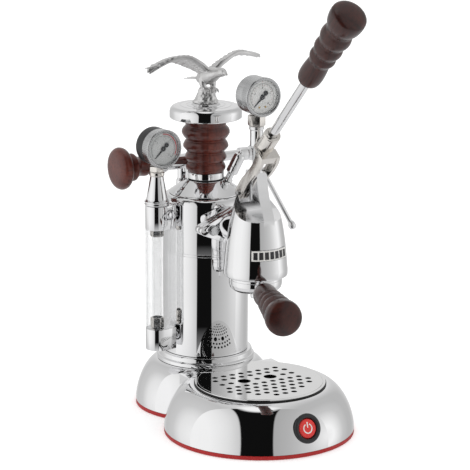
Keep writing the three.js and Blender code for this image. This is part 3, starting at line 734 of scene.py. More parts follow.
def make_tray():
    place = at(0, TRAY_Y)
    outline = [
        (0, 27), (59, 27), (60, 28), (60, 52), (69.4, 52), (69.4, 53), (58, 53), (58, 30), (57, 29), (0, 29)
    ]
    tray = lathe("tray", outline, 128, place, 0.3)
    combine(tray, [disc_shape("bite", 53.7, 50, 60, 128)])
    tray.name = "black_drip_tray"
    keep(tray, "drip_tray", "tray_black", "drip_tray", "drip_tray_floor")
    # The grid's edge is a flat band set off by a fine groove.
    edge = [bitten(68.4, 53.9, 160), bitten(65.9, 56.3, 160)]
    band = pierced_plate("drip_grid_band", edge[0], [], 53.3, 54.35, place, 0.2, [edge[1]])
    plate = pierced_plate("drip_grid_plate", bitten(65.4, 56.8, 160), grid_holes(), 53.3, 54.5, place, 0.16)
    under = pierced_plate(
        "drip_grid_under", bitten(67.6, 54.6, 160), [(x, y, r + 0.3) for x, y, r in grid_holes()], 53.3,
        53.8, place, 0.05
    )
    keep(joined("drip_grid_whole", [plate, band, under]), "drip_grid", "steel", "drip_grid", mat=GRID_STEEL)


# ---- boiler ------------------------------------------------------------------------------------
def make_boiler():
    foot = lathe(
        "foot_ring",
        [
            (22.2, 52), (52.3, 52), (52.7, 52.6), (52.7, 55.6), (51.9, 56.5), (50.5, 56.9), (50.2, 57.4),
            (50.2, 61.0), (49.4, 62.2), (47.6, 62.4),
            (22.2, 62.4),
        ],
        160, None, 0.35,
    )
    keep(foot, "machine", "chrome", "boiler_foot_ring")
    grooves = []
    for z in (172.7, 175.3):
        grooves += [(46, z - 0.35), (45.65, z - 0.2), (45.65, z + 0.2), (46, z + 0.35)]
    rim = [
        (46 - 7 * (1 - math.sin(a)), 226.4 + 8 * math.cos(a))
        for a in (math.pi / 2 * (1 - i / 10) for i in range(11))
    ]
    tube = [(46, 62.8)] + grooves + rim + [(36, 234.4), (36, 232.8), (44.3, 225), (44.3, 62.8)]
    keep(lathe("boiler_body", tube, 160, None, 0.15), "machine", "chrome", "boiler_tube")
    cone = [
        (15.4, 247), (15.4, 248.7), (20.2, 248.7), (20.9, 248.3), (38.9, 235.9), (39.3, 235.4),
        (39.3, 234.7), (30, 234.7), (29, 235.6),
    ]
    keep(lathe("boiler_cone", cone, 128, None, 0.25), "machine", "chrome", "boiler_shoulder")


# ---- filler cap --------------------------------------------------------------------------------
def make_cap():
    ring = [
        (0, 240), (12, 240), (12, 250), (18.9, 250), (19.7, 250.6), (19.7, 256.5), (19.1, 257.2), (0, 257.2)
    ]
    keep(lathe("cap_neck_ring", ring, 96, None, 0.3), "filler_cap", "chrome", "cap_ring")
    profile = [
        (19.4, 257.5), (21.3, 261.6), (20.2, 265.4), (19.0, 267.2), (20.6, 269.6), (22.3, 272.6),
        (21.0, 276.6), (19.7, 278.6), (21.8, 281.2),
        (24.2, 284.9), (22.6, 289.6), (20.8, 292.0), (23.2, 294.8), (25.6, 299.4), (24.6, 303.6),
        (21.8, 306.8), (22.0, 309.6), (23.6, 314.9),
    ]
    barrel = [(0, 257.5)] + spline(profile, 5) + [(0, 314.9)]
    keep(lathe("cap_wood_barrel", barrel, 96, None, 0), "filler_cap", "wood", "cap_barrel")
    edge = [
        (38.6 - 5.6 * (1 - math.cos(a)), 321.6 + 6.6 * math.sin(a))
        for a in (math.pi / 2 * i / 10 for i in range(11))
    ]
    top = [(0, 315.2), (37.6, 315.2), (38.6, 316.2)] + edge
    for r in (27.5, 20.5):
        top += [(r + 0.8, 328.8), (r + 0.25, 328.5), (r - 0.25, 328.5), (r - 0.8, 328.9)]
    top += [(15.6, 329.2), (14.6, 330.6), (13.8, 331.2), (0, 331.2)]
    keep(lathe("cap_chrome_disc", top, 144, None, 0.1), "filler_cap", "chrome", "cap_disc")


def feather(name, root, tip, side, width, thick):
    """A flat feather from root to tip; side is the direction across it."""
    root, tip, side = Vector(root), Vector(tip), Vector(side).normalized()
    along = tip - root
    across = (side - along.normalized() * side.dot(along.normalized())).normalized()
    up = along.normalized().cross(across)
    rings = []
    for u, w in ((0, 0.5), (0.15, 0.8), (0.4, 1.0), (0.65, 0.97), (0.85, 0.72), (0.95, 0.42), (1.0, 0.12)):
        rings.append((root + along * u, across * width / 2 * w, up * thick / 2 * (1 - 0.6 * u)))
    return loft(name, rings, None, 12)


def wing(side, crest, tip):
    """side is -1 or 1; crest and tip are where the wing's front edge arches and ends."""
    arm = spline(
        [
            (side * 3, -9, 366), (side * 14, -12, 375.5), crest,
            ((crest[0] + tip[0]) / 2, -6, crest[2] - 3), tip
        ],
        12
    )
    parts = [rod("arm", arm, [3.8, 3.2, 2.5, 1.8, 1.0], 12, 1)]
    # A thin web behind the arm, with a ripple and a notched edge for each quill.
    quills, across = 12, 12
    rings = []
    for i, place in enumerate(arm):
        u = i / (len(arm) - 1)
        outward = u ** 1.6
        ripple = abs(math.sin(math.pi * quills * u))
        length = (17 + 9 * math.sin(math.pi * min(u * 1.15, 1)) - 8 * u ** 3) * (0.91 + 0.09 * ripple)
        along = Vector((side * (0.1 + 0.95 * outward), 1.0 - 0.5 * outward, -0.30)).normalized()
        if abs(place[0] + along.x * length) > 69.5:
            length = (69.5 - abs(place[0])) / abs(along.x)
        edge = []
        for k in range(across + 1):
            v = k / across
            bend = 2.2 * math.sin(math.pi * v) + (ripple - 0.5) * 1.1 * v
            thick = 1.5 * (1 - v) + 0.75
            edge.append((Vector(place) + along * length * v + Vector((0, 0, bend)), thick))
        rings.append(
            [c + Vector((0, 0, t)) for c, t in edge] + [c - Vector((0, 0, t)) for c, t in reversed(edge)]
        )
    sides = len(rings[0])
    verts = [v for loop in rings for v in loop]
    faces = [
        [i * sides + k, i * sides + (k + 1) % sides, (i + 1) * sides + (k + 1) % sides, (i + 1) * sides + k]
        for i in range(len(rings) - 1) for k in range(sides)
    ]
    faces += [list(range(sides))[::-1], list(range(len(verts) - sides, len(verts)))]
    parts.append(shape("web", verts, faces))
    for share, wide in ((0.36, 8.5), (0.62, 9.0)):
        for i in range(2, len(arm) - 6, 3):
            u = i / (len(arm) - 1)
            along = Vector((side * (0.1 + 0.95 * u ** 1.6), 1.0 - 0.5 * u ** 1.6, -0.30)).normalized()
            root = Vector(arm[i]) + Vector((0, 0, 2.4 - share))
            parts.append(
                feather(
                    "covert", root, root + along * (24 * share + 2) + Vector((0, 0, 0.9 * (1 - share))),
                    (side, 0.1, -0.2), wide, 2.2
                )
            )
    return parts


def make_bird():
    """A perched bird of prey of no particular make, cast in one piece."""
    spine = [
        (0, 14, 354), (0, 7, 356.5), (0, -4, 360), (0, -15, 363.5), (0, -25, 366.6), (0, -33, 368.6),
        (0, -38.5, 368.6)
    ]
    body = rod("body", spine, [4.0, 7.2, 9.0, 8.0, 5.2, 5.0, 3.2], 20, 5)
    beak = loft("beak", [
        ((0, -37.5, 369.2), (2.6, 0, 0), (0, 0.8, 2.8)), ((0, -41.5, 368.8), (1.9, 0, 0), (0, 0.8, 2.0)),
        ((0, -44.6, 367.2), (1.1, 0, 0), (0, 1.0, 1.1)), ((0, -46, 364.8), (0.4, 0, 0), (0, 0.5, 0.3)),
    ])
    parts = [body, beak]
    for side in (-1, 1):
        parts.append(
            rod(
                "leg", [(side * 5, -2, 358), (side * 6, -4, 352), (side * 5, -6, 346.5)], [5.0, 3.8, 2.4],
                14, 4
            )
        )
        for spread in (-1, 0, 1):
            parts.append(
                rod(
                    "toe",
                    [
                        (side * 5, -6, 347.5), (side * 5 + spread * 2.6, -11, 346.2),
                        (side * 5 + spread * 3.2, -13, 343)
                    ],
                    [1.5, 1.3, 0.7], 8, 3
                )
            )
    for i in range(5):
        lean = (i - 2) * 0.17
        tip = (math.sin(lean) * 30, 9 + math.cos(lean) * 23, 353.5 - abs(lean) * 2)
        parts.append(
            feather("tail_quill", (math.sin(lean) * 3, 9, 356 + i % 2 * 0.5), tip, (1, 0, 0), 6.4, 2.2)
        )
    parts += wing(-1, (-28, -9, 383), (-67.5, 1, 368))
    parts += wing(1, (33, -9, 383), (64.5, 1, 374.5))
    verts, faces = [], []
    levels, around = 18, 56
    for j in range(levels + 1):
        for k in range(around):
            a = 2 * math.pi * k / around
            r = 13.2 - 5.0 * (j / levels) ** 0.8
            z = 331.5 + 15.6 * j / levels
            wobble = 1 + 0.16 * noise.noise(Vector((math.cos(a) * 1.7, math.sin(a) * 1.7, z * 0.13)))
            wobble += 0.10 * noise.noise(Vector((math.cos(a) * 4.6, math.sin(a) * 4.6, z * 0.4)))
            verts.append((r * wobble * math.cos(a), r * wobble * math.sin(a) - 2 * j / levels, z))
    for j in range(levels):
        for k in range(around):
            faces.append(
                [
                    j * around + k, j * around + (k + 1) % around, (j + 1) * around + (k + 1) % around,
                    (j + 1) * around + k
                ]
            )
    faces.append(list(range(around))[::-1])
    faces.append([levels * around + k for k in range(around)])
    parts.append(shape("rock", verts, faces))
    bird = joined("cast_bird", parts)
    merge = bird.modifiers.new("merge", "REMESH")
    merge.mode = "VOXEL"
    merge.voxel_size = 0.62 * MM
    blur = bird.modifiers.new("blur", "SMOOTH")
    blur.factor, blur.iterations = 0.5, 2
    apply_modifiers(bird, 75)
    bird.data.materials.clear()
    keep(bird, "filler_cap", "chrome", "cap_bird", mat=CAST_CHROME)


# ---- gauges ------------------------------------------------------------------------------------
def flat_mark(points, mat, z):
    return painted(prism("mark", points, z, z + 0.06), mat)


def arc_band(radius, width, start, end, steps=32):
    """A band on a dial. Angles run clockwise from straight up, in degrees."""
    a = [math.radians(90 - start - (end - start) * i / steps) for i in range(steps + 1)]
    outer = [(radius * math.cos(t), radius * math.sin(t)) for t in a]
    inner = [((radius - width) * math.cos(t), (radius - width) * math.sin(t)) for t in reversed(a)]
    return outer + inner


def tick(radius, length, width, angle):
    t = math.radians(90 - angle)
    along, across = Vector((math.cos(t), math.sin(t))), Vector((-math.sin(t), math.cos(t)))
    corners = [along * (radius - length) + across * width / 2, along * radius + across * width / 2]
    corners += [along * radius - across * width / 2, along * (radius - length) - across * width / 2]
    return [tuple(c) for c in corners]


def numeral(text, radius, angle, size, mat, z):
    curve = bpy.data.curves.new("numeral", "FONT")
    curve.body = text
    curve.size = size * MM
    curve.align_x = "CENTER"
    curve.align_y = "CENTER"
    curve.extrude = 0.03 * MM
    curve.resolution_u = 2
    holder = bpy.data.objects.new("numeral", curve)
    SCENE.collection.objects.link(holder)
    mesh = bpy.data.meshes.new_from_object(holder.evaluated_get(bpy.context.evaluated_depsgraph_get()))
    bpy.data.objects.remove(holder)
    t = math.radians(90 - angle)
    piece = bpy.data.objects.new("numeral", mesh)
    SCENE.collection.objects.link(piece)
    piece.matrix_world = in_metres(at(radius * math.cos(t), radius * math.sin(t), z + 0.03))
    return painted(piece, mat)


def make_gauge(prefix, place, depth, body, needle_body, numbers, red_span, face, rear_dark):
    black = MATERIALS["needle"]
    rear = depth * 0.52
    back = [
        (0, -depth), (18.6, -depth), (19.7, -depth + 1.2), (19.7, -depth + rear),
        (19.3, -depth + rear + 0.2), (0, -depth + rear + 0.2)
    ]
    front = [
        (17.0, -depth + rear + 0.4), (19.9, -depth + rear + 0.4), (19.9, -3.6), (20.5, -3.0), (20.5, -1.0),
        (19.8, -0.15), (18.9, 0.0), (18.2, -0.3),
        (17.4, -1.0), (17.4, -4.4), (17.0, -4.4),
    ]
    shell = [
        painted(
            lathe("back", back, 96, place, 0.3),
            MATERIALS["black_plastic"] if rear_dark else MATERIALS["steel"]
        )
    ]
    shell.append(painted(lathe("front", front, 112, place, 0.25), MATERIALS["steel"]))
    keep(joined(prefix + "_casing", shell), body, "steel", prefix + "_case")

    dial = [painted(disc_shape("face", 17.2, -4.3, -3.6, 80, None), face)]
    z = -3.6
    first, last = -135, 135
    dial.append(flat_mark(arc_band(13.9, 0.22, first, last), black, z))
    count = (len(numbers) - 1) * 5
    for i in range(count + 1):
        angle = first + (last - first) * i / count
        major = i % 5 == 0
        dial.append(flat_mark(tick(13.9, 2.4 if major else 1.3, 0.42 if major else 0.22, angle), black, z))
    dial.append(flat_mark(arc_band(16.2, 1.1, *red_span), RED_PRINT, z))
    for i, text in enumerate(numbers):
        dial.append(numeral(text, 9.6, first + (last - first) * i / (len(numbers) - 1), 2.9, black, z))
    if not rear_dark:
        for i in range(0, 21):
            dial.append(
                flat_mark(tick(12.2, 0.7, 0.25, first + (last - first) * i / 20), RED_PRINT, z + 0.01)
            )
        for x in (-3.6, 3.6):
            dial.append(
                painted(
                    lathe("screw", [(0, z), (1.05, z), (1.05, z + 0.5), (0, z + 0.7)], 20, at(x, -10.4)),
                    MATERIALS["brass"]
                )
            )
    whole = joined(prefix + "_printed_dial", dial)
    whole.matrix_world = in_metres(place)
    keep(whole, body, "dial", prefix + "_dial")

    lean = turn(math.radians(135), "Z")
    pointer = prism(
        "pointer", [(-1.3, -6.2), (1.3, -6.2), (1.15, 0), (0.35, 13.4), (-0.35, 13.4), (-1.15, 0)], -3.05,
        -2.75, place @ lean, 0.06
    )
    weight = disc_shape("weight", 2.6, -3.05, -2.7, 32, place @ lean @ at(0, -5.4))
    hub = lathe("hub", [(0, -3.3), (2.7, -3.3), (2.7, -2.5), (1.9, -2.2), (0, -2.2)], 40, place, 0.2)
    keep(joined(prefix + "_pointer", [pointer, weight, hub]), needle_body, "needle", prefix + "_needle")
    lens = lathe(
        prefix + "_glass", [(0, -1.9), (17.1, -1.9), (17.1, -1.0), (12, -0.86), (0, -0.8)], 80, place, 0.1
    )
    keep(lens, body, "clear", prefix + "_lens")


def hexagon(across, turned=0.0):
    return [
        (
            across / math.sqrt(3) * math.cos(turned + k * math.pi / 3),
            across / math.sqrt(3) * math.sin(turned + k * math.pi / 3)
        )
        for k in range(6)
    ]


def nut(name, across, low, high, place=None, turned=0.0):
    """A hexagon with its corners turned off."""
    body = prism(name, hexagon(across, turned), low, high, place, 0.0, 20)
    r = across / math.sqrt(3)
    cut_back = r - across / 2 * 1.0
    mask = lathe(
        "mask",
        [
            (0, low), (r - cut_back, low), (r + 0.02, low + cut_back * 0.6),
            (r + 0.02, high - cut_back * 0.6), (r - cut_back, high), (0, high)
        ],
        64, place, 0
    )
    combine(body, [mask], "INTERSECT")
    soften(body, 0.18, 2, 30)
    return body


# ---- sight glass -------------------------------------------------------------------------------
SIGHT = at(-65, -10)


def column_plan(radius, reach, steps=40):
    return arc(0, 0, radius, math.pi / 2, 3 * math.pi / 2, steps) + [(reach, -radius), (reach, radius)]


def make_sight_glass():
    column = SIGHT @ turn(math.atan2(10, 65), "Z")
    for name, low, high, stub in (("upper", 203.5, 229.3, 217), ("lower", 72, 95, 84)):
        block = prism("sight_fitting_" + name, column_plan(12.5, 16), low, high, column, 0.5)
        pipe = disc_shape("pipe", 6.5, 8, 19.0, 48, column @ at(0, 0, stub) @ turn(math.pi / 2, "Y"))
        hole = disc_shape(
            "hole", 5.3, 200 if name == "upper" else 87, 214.5 if name == "upper" else 100, 40, column
        )
        combine(block, [pipe], "UNION")
        combine(block, [hole])
        keep(block, "machine", "chrome", "sight_block_" + name)
    cover = prism("sight_clear_cover", column_plan(12.5, 16), 95.3, 203.2, column)
    inner = prism("inner", column_plan(11.1, 20), 90, 210, column)
    combine(cover, [inner])
    keep(cover, "machine", "clear", "sight_cover")
    tube = lathe("sight_tube", [(3.6, 87.4), (5.0, 87.4), (5.0, 214), (3.6, 214)], 48, column, 0.2)
    keep(tube, "machine", "clear", "sight_glass_tube")
    for name, low, high in (("upper", 195.5, 203.0), ("lower", 95.5, 106.5)):
        gland = nut("sight_gland_" + name, 12.6, low, high, column, 0.3)
        hole = disc_shape("hole", 5.2, low - 1, high + 1, 40, column)
        keep(combine(gland, [hole]), "machine", "nickel")
    post = [
        (0, 229.6), (12.6, 229.6), (13.3, 230.3), (13.3, 231.2), (12.7, 231.8), (12.7, 232.3),
        (13.3, 232.9), (13.3, 233.8), (12.4, 234.6), (11.3, 236),
        (6.9, 260.6), (0, 260.6),
    ]
    keep(lathe("gauge_cone", post, 96, SIGHT, 0.35), "machine", "chrome", "gauge_post")
    collar = lathe(
        "collar", [(0, 260.8), (7.6, 260.8), (8.0, 261.6), (8.0, 264.6), (7.0, 265.6), (0, 265.6)], 64,
        SIGHT, 0.3
    )
    keep(
        joined("boiler_gauge_fitting", [collar, nut("hex", 14, 265.6, 271.4, SIGHT)]), "machine", "nickel",
        "boiler_gauge_nut"
    )
    dial = SIGHT @ at(0, -17.3, 292) @ turn(math.pi / 2, "X")
    make_gauge(
        "boiler_gauge", dial, 28, "machine", "boiler_needle", ["0", "1", "2", "3"], (0, 118),
        MATERIALS["dial"], True
    )


# ---- steam tap, wand and valve -----------------------------------------------------------------
TAP = at(0, 30, 263)
ALONG_X = turn(math.pi / 2, "Y")


def ball_side(radius, steps, stop):
    """Points up the side of a ball from just above its lowest one, as (radius, height)."""
    angles = [math.pi * i / steps for i in range(1, stop)]
    return [(radius * math.sin(a), -radius * math.cos(a)) for a in angles]


def boiler_cone_solid(grow):
    outline = [
        (0, 230), (39.2 + grow, 230), (39.2 + grow, 235.3 + grow), (20.4 + grow, 248.7 + grow),
        (0, 248.7 + grow)
    ]
    return lathe("cone", outline, 96, None, 0)


def make_tap():
    body = lathe(
        "steam_tap",
        [
            (0, -53), (9.6, -53), (10.6, -52), (10.6, -47), (10.0, -46.4), (10.0, -45.6), (10.6, -45),
            (10.6, -36), (8.4, -31.5), (8.2, -30), (8.2, -4),
            (7.6, -2.6), (5.4, -0.6), (5.4, 57), (6.2, 58.4), (7.4, 59.4), (7.4, 67.4), (0, 67.6),
        ],
        72, TAP @ ALONG_X, 0.4,
    )
    stem = lathe(
        "stem", [(0, -27.5), (6.4, -27.5), (6.4, -20.4), (5.0, -18), (5.0, -2), (0, -2)], 56, TAP @ at(-12),
        0.4
    )
    combine(body, [stem], "UNION")
    bore = disc_shape("bore", 3.5, -60, -26, 32, TAP @ ALONG_X)
    combine(body, [boiler_cone_solid(0.3), bore])
    keep(body, "machine", "chrome", "steam_tap_body")
    knob = [
        (10.4, -94.3), (15, -93.9), (19.4, -92.3), (21.9, -89.4), (22.6, -86.4), (21.6, -83.0),
        (18.6, -80.4), (14.6, -79.0), (12.6, -77.9), (13.2, -76.2),
        (14.6, -74.2), (14.6, -72.0), (12.6, -69.6), (10.9, -67.0), (10.5, -64), (10.9, -60), (10.6, -57),
        (9.4, -55.4),
    ]
    outline = [(0, -94.5)] + spline(knob, 4) + [(0, -55.4)]
    wood = lathe("steam_knob_wood", outline, 96, TAP @ ALONG_X, 0)
    combine(wood, [disc_shape("bore", 3.3, -77, -40, 32, TAP @ ALONG_X)])
    keep(wood, "steam_knob", "wood", "steam_knob")
    spindle = lathe("tap_spindle", [(0, -76), (3, -76), (3, -28), (0, -28)], 40, TAP @ ALONG_X, 0.2)
    keep(spindle, "steam_knob", "brass", "steam_spindle")

    ball = Vector((77, 30, 263))
    reach = Vector((116.5, 10, 179.3)) - ball
    length = reach.length
    along = Matrix.Translation(ball) @ towards(reach)
    socket = lathe(
        "wand_socket", [(0, 68), (6.6, 68), (7.2, 68.6), (7.2, 78), (0, 78)], 56, TAP @ ALONG_X, 0.3
    )
    round_end = lathe("round", [(0, -9)] + ball_side(9, 24, 24) + [(0, 9)], 56, along, 0)
    combine(socket, [round_end], "UNION")
    hollow = lathe("hollow", [(0, -5.7)] + ball_side(5.7, 16, 16) + [(0, 5.7)], 40, along, 0)
    mouth = lathe("mouth", [(0, 1.5), (3.7, 1.5), (10.6, 14), (0, 14)], 40, along, 0)
    combine(socket, [hollow, mouth])
    keep(socket, "wand_joint", "chrome", "wand_joint")
    outline = [(0, -5)] + ball_side(5, 20, 17)
    outline += [
        (2.6, 5.2), (2.6, length - 7), (3.0, length - 6), (4.0, length - 4), (4.25, length - 1.6),
        (4.0, length + 0.6), (3.0, length + 2.2), (1.0, length + 3), (0.5, length + 2.4), (0, length + 2.4)
    ]
    keep(lathe("steam_pipe", outline, 48, along, 0.3), "steam_wand", "chrome", "steam_wand")

    foot = Matrix.Translation((18.6, -11, 243)) @ towards((13.8, -8.2, 34))
    valve = lathe(
        "relief_valve",
        [
            (0, -4), (3.6, -4), (3.6, 2), (5.2, 3), (5.2, 6), (3.8, 7), (3.8, 12), (5.6, 13.4), (6.4, 14.4),
            (6.4, 20.4), (6.0, 20.9), (6.4, 21.4),
            (6.4, 32.6), (5.6, 35), (3.2, 36), (3.0, 36.6), (3.0, 38.6), (0, 39),
        ],
        64, foot, 0.35,
    )
    combine(valve, [boiler_cone_solid(0.3)])
    keep(valve, "machine", "chrome", "safety_valve")


# ---- group -------------------------------------------------------------------------------------
GROUP_Y = -104
GROUP = at(0, GROUP_Y)
RIDGE_FOOT = 228  # below this height the bell is all turned skin
BELL_TOP = 262  # above it there is only the ridge
FLANGE_Z = 209.5
BOLT_X = 29.5
PIVOT = (18, 251)


def bell_outline(grow=0.0):
    curve = spline(
        [
            (31.4, 166.8), (32.6, 167.2), (33.3, 168.6), (33.5, 173), (33.0, 178), (31.8, 192), (30.2, 206),
            (27.8, 221), (25.2, 233), (22.4, 244), (19, 254)
        ],
        4
    )
    return [(r + grow, z) for r, z in curve]


def diamond(half_length, half_height, tip, steps=16):
    slope = math.atan2(half_height - tip, half_length - tip)
    right = arc(half_length - tip, 0, tip, -math.pi / 2 + slope, math.pi / 2 - slope, steps)
    top = arc(0, 0, half_height, math.pi / 2 - slope * 0.6, math.pi / 2 + slope * 0.6, 8)
    return right + top + [(-x, -z) for x, z in right] + [(-x, -z) for x, z in top]


def upright(name, outline, start, end, place, bevel=0.0):
    """An outline in X and Z that stands between two places along Y."""
    return prism(name, outline, -end, -start, place @ turn(math.pi / 2, "X"), bevel)


def radius_at(outline, z):
    """The outline's radius at a height, or 0 above and below it."""
    for (r0, z0), (r1, z1) in zip(outline, outline[1:]):
        if z0 <= z <= z1:
            return r0 + (r1 - r0) * (z - z0) / (z1 - z0)
    return 0


def polish_shoulders(bell):
    """Gives the shoulders and the ridge a softer polish than the bell's turned skin."""
    bell.data.materials.append(MATERIALS["chrome"])
    bell.data.materials.append(SOFT_CHROME)
    skin = bell_outline()
    for face in bell.data.polygons:
        x, y, z = bell.matrix_world @ face.center / MM
        within = math.hypot(x, y - GROUP_Y) < radius_at(skin, z) - 0.5
        if z > BELL_TOP or z > RIDGE_FOOT and within:
            face.material_index = 1


def make_group():
    py, pz = PIVOT
    bell = lathe("group_body", [(0, 166.8)] + bell_outline() + [(0, 260)], 160, GROUP, 0)
    sweep = disc_shape("sweep", 46, -40, 40, 256, GROUP @ at(0, -26, 274) @ ALONG_X)
    combine(bell, [sweep])
    front = spline(
        [(-26.8, 228.6), (-23.8, 236), (-20.2, 243), (-16.6, 251), (-14, 259), (-12.2, 268), (-11, 277)], 4
    )
    top = [(11, 277), (12.5, 262)] + arc(py, pz, 7, 1.9, -0.6, 12) + [(18, 236), (10, 222), (-26.4, 220)]
    ridge = slab("ridge", front + top, 12.4, 0, GROUP)
    neck = disc_shape("neck", 15, 20, 38, 72, GROUP @ at(0, 0, FLANGE_Z) @ turn(-math.pi / 2, "X"))
    plate = upright("plate", diamond(44, 20, 5), 37, 44, GROUP @ at(0, 0, FLANGE_Z), 0.5)
    combine(bell, [ridge, neck, plate], "UNION")
    across = GROUP @ at(0, py, pz) @ ALONG_X
    pockets = [
        lathe("pocket", [(0.5, a), (12.4, a), (12.4, b), (0.5, b)], 64, across, 0) for a,
        b in ((6.2, 14), (-14, -6.2))
    ]
    slot = prism(
        "slot", arc(0, 0, 2.8, -math.pi, 0, 12) + [(2.8, 45), (-2.8, 45)], -10, 10,
        GROUP @ at(0, 0, 247) @ Matrix(((0, 0, 1, 0), (1, 0, 0, 0), (0, 1, 0, 0), (0, 0, 0, 1)))
    )
    cuts = pockets + [
        disc_shape("mouth", 28.1, 160, 175.3, 96, GROUP),
        lathe("barrel", [(0, 170), (26.9, 170), (26.9, 216), (4.5, 226), (4.5, 290), (0, 290)], 96, GROUP, 0),
        slot,
        disc_shape("pin_hole", 2.8, -20, 20, 40, across),
    ]
    for side in (-1, 1):
        cuts.append(
            disc_shape(
                "bolt_hole", 3.3, 30, 50, 32,
                GROUP @ at(side * BOLT_X, 0, FLANGE_Z) @ turn(-math.pi / 2, "X")
            )
        )
    for cutter in cuts:
        combine(bell, [cutter])
    soften(bell, 0.3, 2, 40)
    polish_shoulders(bell)
    keep(bell, "machine", "chrome", "group_bell")

    out = turn(-math.pi / 2, "X")
    flange = upright("flange", diamond(44, 20, 5), 44.3, 50.5, GROUP @ at(0, 0, FLANGE_Z), 0.9)
    stub = disc_shape("stub", 16, 48, 60, 72, GROUP @ at(0, 0, FLANGE_Z) @ out)
    combine(flange, [stub], "UNION")
    combine(flange, [
        disc_shape("way", 7, 30, 70, 40, GROUP @ at(0, 0, FLANGE_Z) @ out),
        disc_shape("boiler", 46.3, 140, 270, 160),
    ])
    flange.name = "boiler_flange"
    keep(flange, "machine", "chrome", "group_flange")
    for side, name in ((-1, "left"), (1, "right")):
        place = GROUP @ at(side * BOLT_X, 0, FLANGE_Z) @ out
        head = nut("head", 9, 32.4, 36.6, place)
        shank = disc_shape("shank", 3, 36.6, 49, 32, place)
        washer = lathe("washer", [(3.3, 36.2), (5.6, 36.2), (5.6, 36.9), (3.3, 36.9)], 40, place, 0.15)
        keep(joined("flange_screw_" + name, [head, shank, washer]), "machine", "steel", "flange_bolt_" + name)
    make_badge()


def make_badge():
    """A plain enamelled strip with a row of blank dark tiles."""
    def radius(z):
        points = bell_outline()
        for (r0, z0), (r1, z1) in zip(points, points[1:]):
            if z0 <= z <= z1:
                return r0 + (r1 - r0) * (z - z0) / (z1 - z0)
        return points[-1][0]

    def patch(name, a0, a1, z0, z1, low, high, mat):
        across, tall = 14 if a1 - a0 > 0.3 else 4, 4
        verts, faces = [], []
        for lift in (low, high):
            for j in range(tall + 1):
                z = z0 + (z1 - z0) * j / tall
                for i in range(across + 1):
                    a = a0 + (a1 - a0) * i / across - math.pi / 2
                    r = radius(z) + lift
                    verts.append((r * math.cos(a), r * math.sin(a), z))
        row, half = across + 1, (across + 1) * (tall + 1)
        for j in range(tall):
            for i in range(across):
                q = [j * row + i, j * row + i + 1, (j + 1) * row + i + 1, (j + 1) * row + i]
                faces.append(q)
                faces.append([half + v for v in reversed(q)])
        edge = [i for i in range(across)] + [j * row + across for j in range(tall)]
        edge += [tall * row + i for i in range(across, 0, -1)] + [j * row for j in range(tall, 0, -1)]
        for i, v in enumerate(edge):
            w = edge[(i + 1) % len(edge)]
            faces.append([v, w, half + w, half + v])
        return painted(shape(name, verts, faces, GROUP), mat)

    spread = math.radians(40)
    strip = [patch("strip", -spread, spread, 188.6, 200.2, 0.3, 1.0, MATERIALS["steel"])]
    strip.append(patch("enamel", -spread * 0.97, spread * 0.97, 189.2, 199.6, 0.9, 1.15, CREAM))
    pitch = 2 * spread * 0.92 / 7
    for i in range(7):
        a = -spread * 0.92 + pitch * (i + 0.5)
        strip.append(patch("tile", a - pitch * 0.36, a + pitch * 0.36, 190.6, 198.2, 1.0, 1.4, TILE))
    keep(joined("group_strip", strip), "machine", "steel", "group_badge")


def make_piston():
    rod_shape = lathe("rod", [(0, 204.4), (3.9, 204.4), (3.9, 311.6), (0, 311.6)], 56, GROUP, 0.2)
    hole = disc_shape("hole", 2.6, -6, 6, 32, GROUP @ at(0, 0, 272) @ ALONG_X)
    keep(combine(rod_shape, [hole]), "piston", "steel", "piston_rod")
    keep(
        lathe(
            "cross_pin", [(0, -6.6), (2.3, -6.6), (2.3, 6.6), (0, 6.6)], 40,
            GROUP @ at(0, 0, 272) @ ALONG_X, 0.35
        ),
        "piston", "steel", "rod_cross_pin"
    )
    post = lathe(
        "gauge_post_shape",
        [
            (0, 303), (6.1, 303), (6.8, 303.8), (6.8, 319.8), (7.0, 320.6), (7.8, 321.2), (7.8, 322.6),
            (7.3, 323.0), (7.8, 323.4), (7.8, 324.2), (0, 324.4)
        ],
        64, GROUP, 0.3,
    )
    bore = disc_shape("bore", 4.2, 300, 312, 40, GROUP)
    keep(combine(post, [bore]), "piston", "chrome", "rod_end_post")
    keep(nut("group_gauge_hex", 16, 324.7, 335.7, GROUP, 0.35), "piston", "nickel", "group_gauge_nut")
    dial = GROUP @ at(0, -14.5, 356) @ turn(math.pi / 2, "X")
    make_gauge(
        "group_gauge", dial, 25, "piston", "group_needle", ["0", "4", "8", "12", "16"], (0, 1), WHITE_DIAL,
        False
    )


# ---- lever -------------------------------------------------------------------------------------
LEVER = at(0, -86, 251) @ turn(0.775, "X")
HANDLE = [
    (7.4, 0.2), (9.9, 1.6), (11.7, 5), (12.6, 12), (12.3, 21), (11.5, 29), (11.2, 33), (12.3, 35.8),
    (13.7, 39.6), (13.2, 43.4), (12.2, 46.2),
    (13.2, 48.6), (14.7, 54), (14.0, 59), (12.8, 62.2), (14.2, 65.6), (16.0, 72), (15.2, 78), (13.8, 81.8),
    (14.8, 85.4), (17.3, 91.5),
    (18.5, 98), (18.5, 103.6), (17.6, 106.2), (14.6, 108.1), (9, 109.4),
]


def wooden_handle(name, place, bore, depth, length=1.0):
    outline = [(0, 0)] + [(r, z * length) for r, z in spline(HANDLE, 4)] + [(0, 110 * length)]
    handle = lathe(name, outline, 96, place, 0)
    return painted(combine(handle, [disc_shape("bore", bore, -5, depth, 40, place)]), DARK_WOOD)


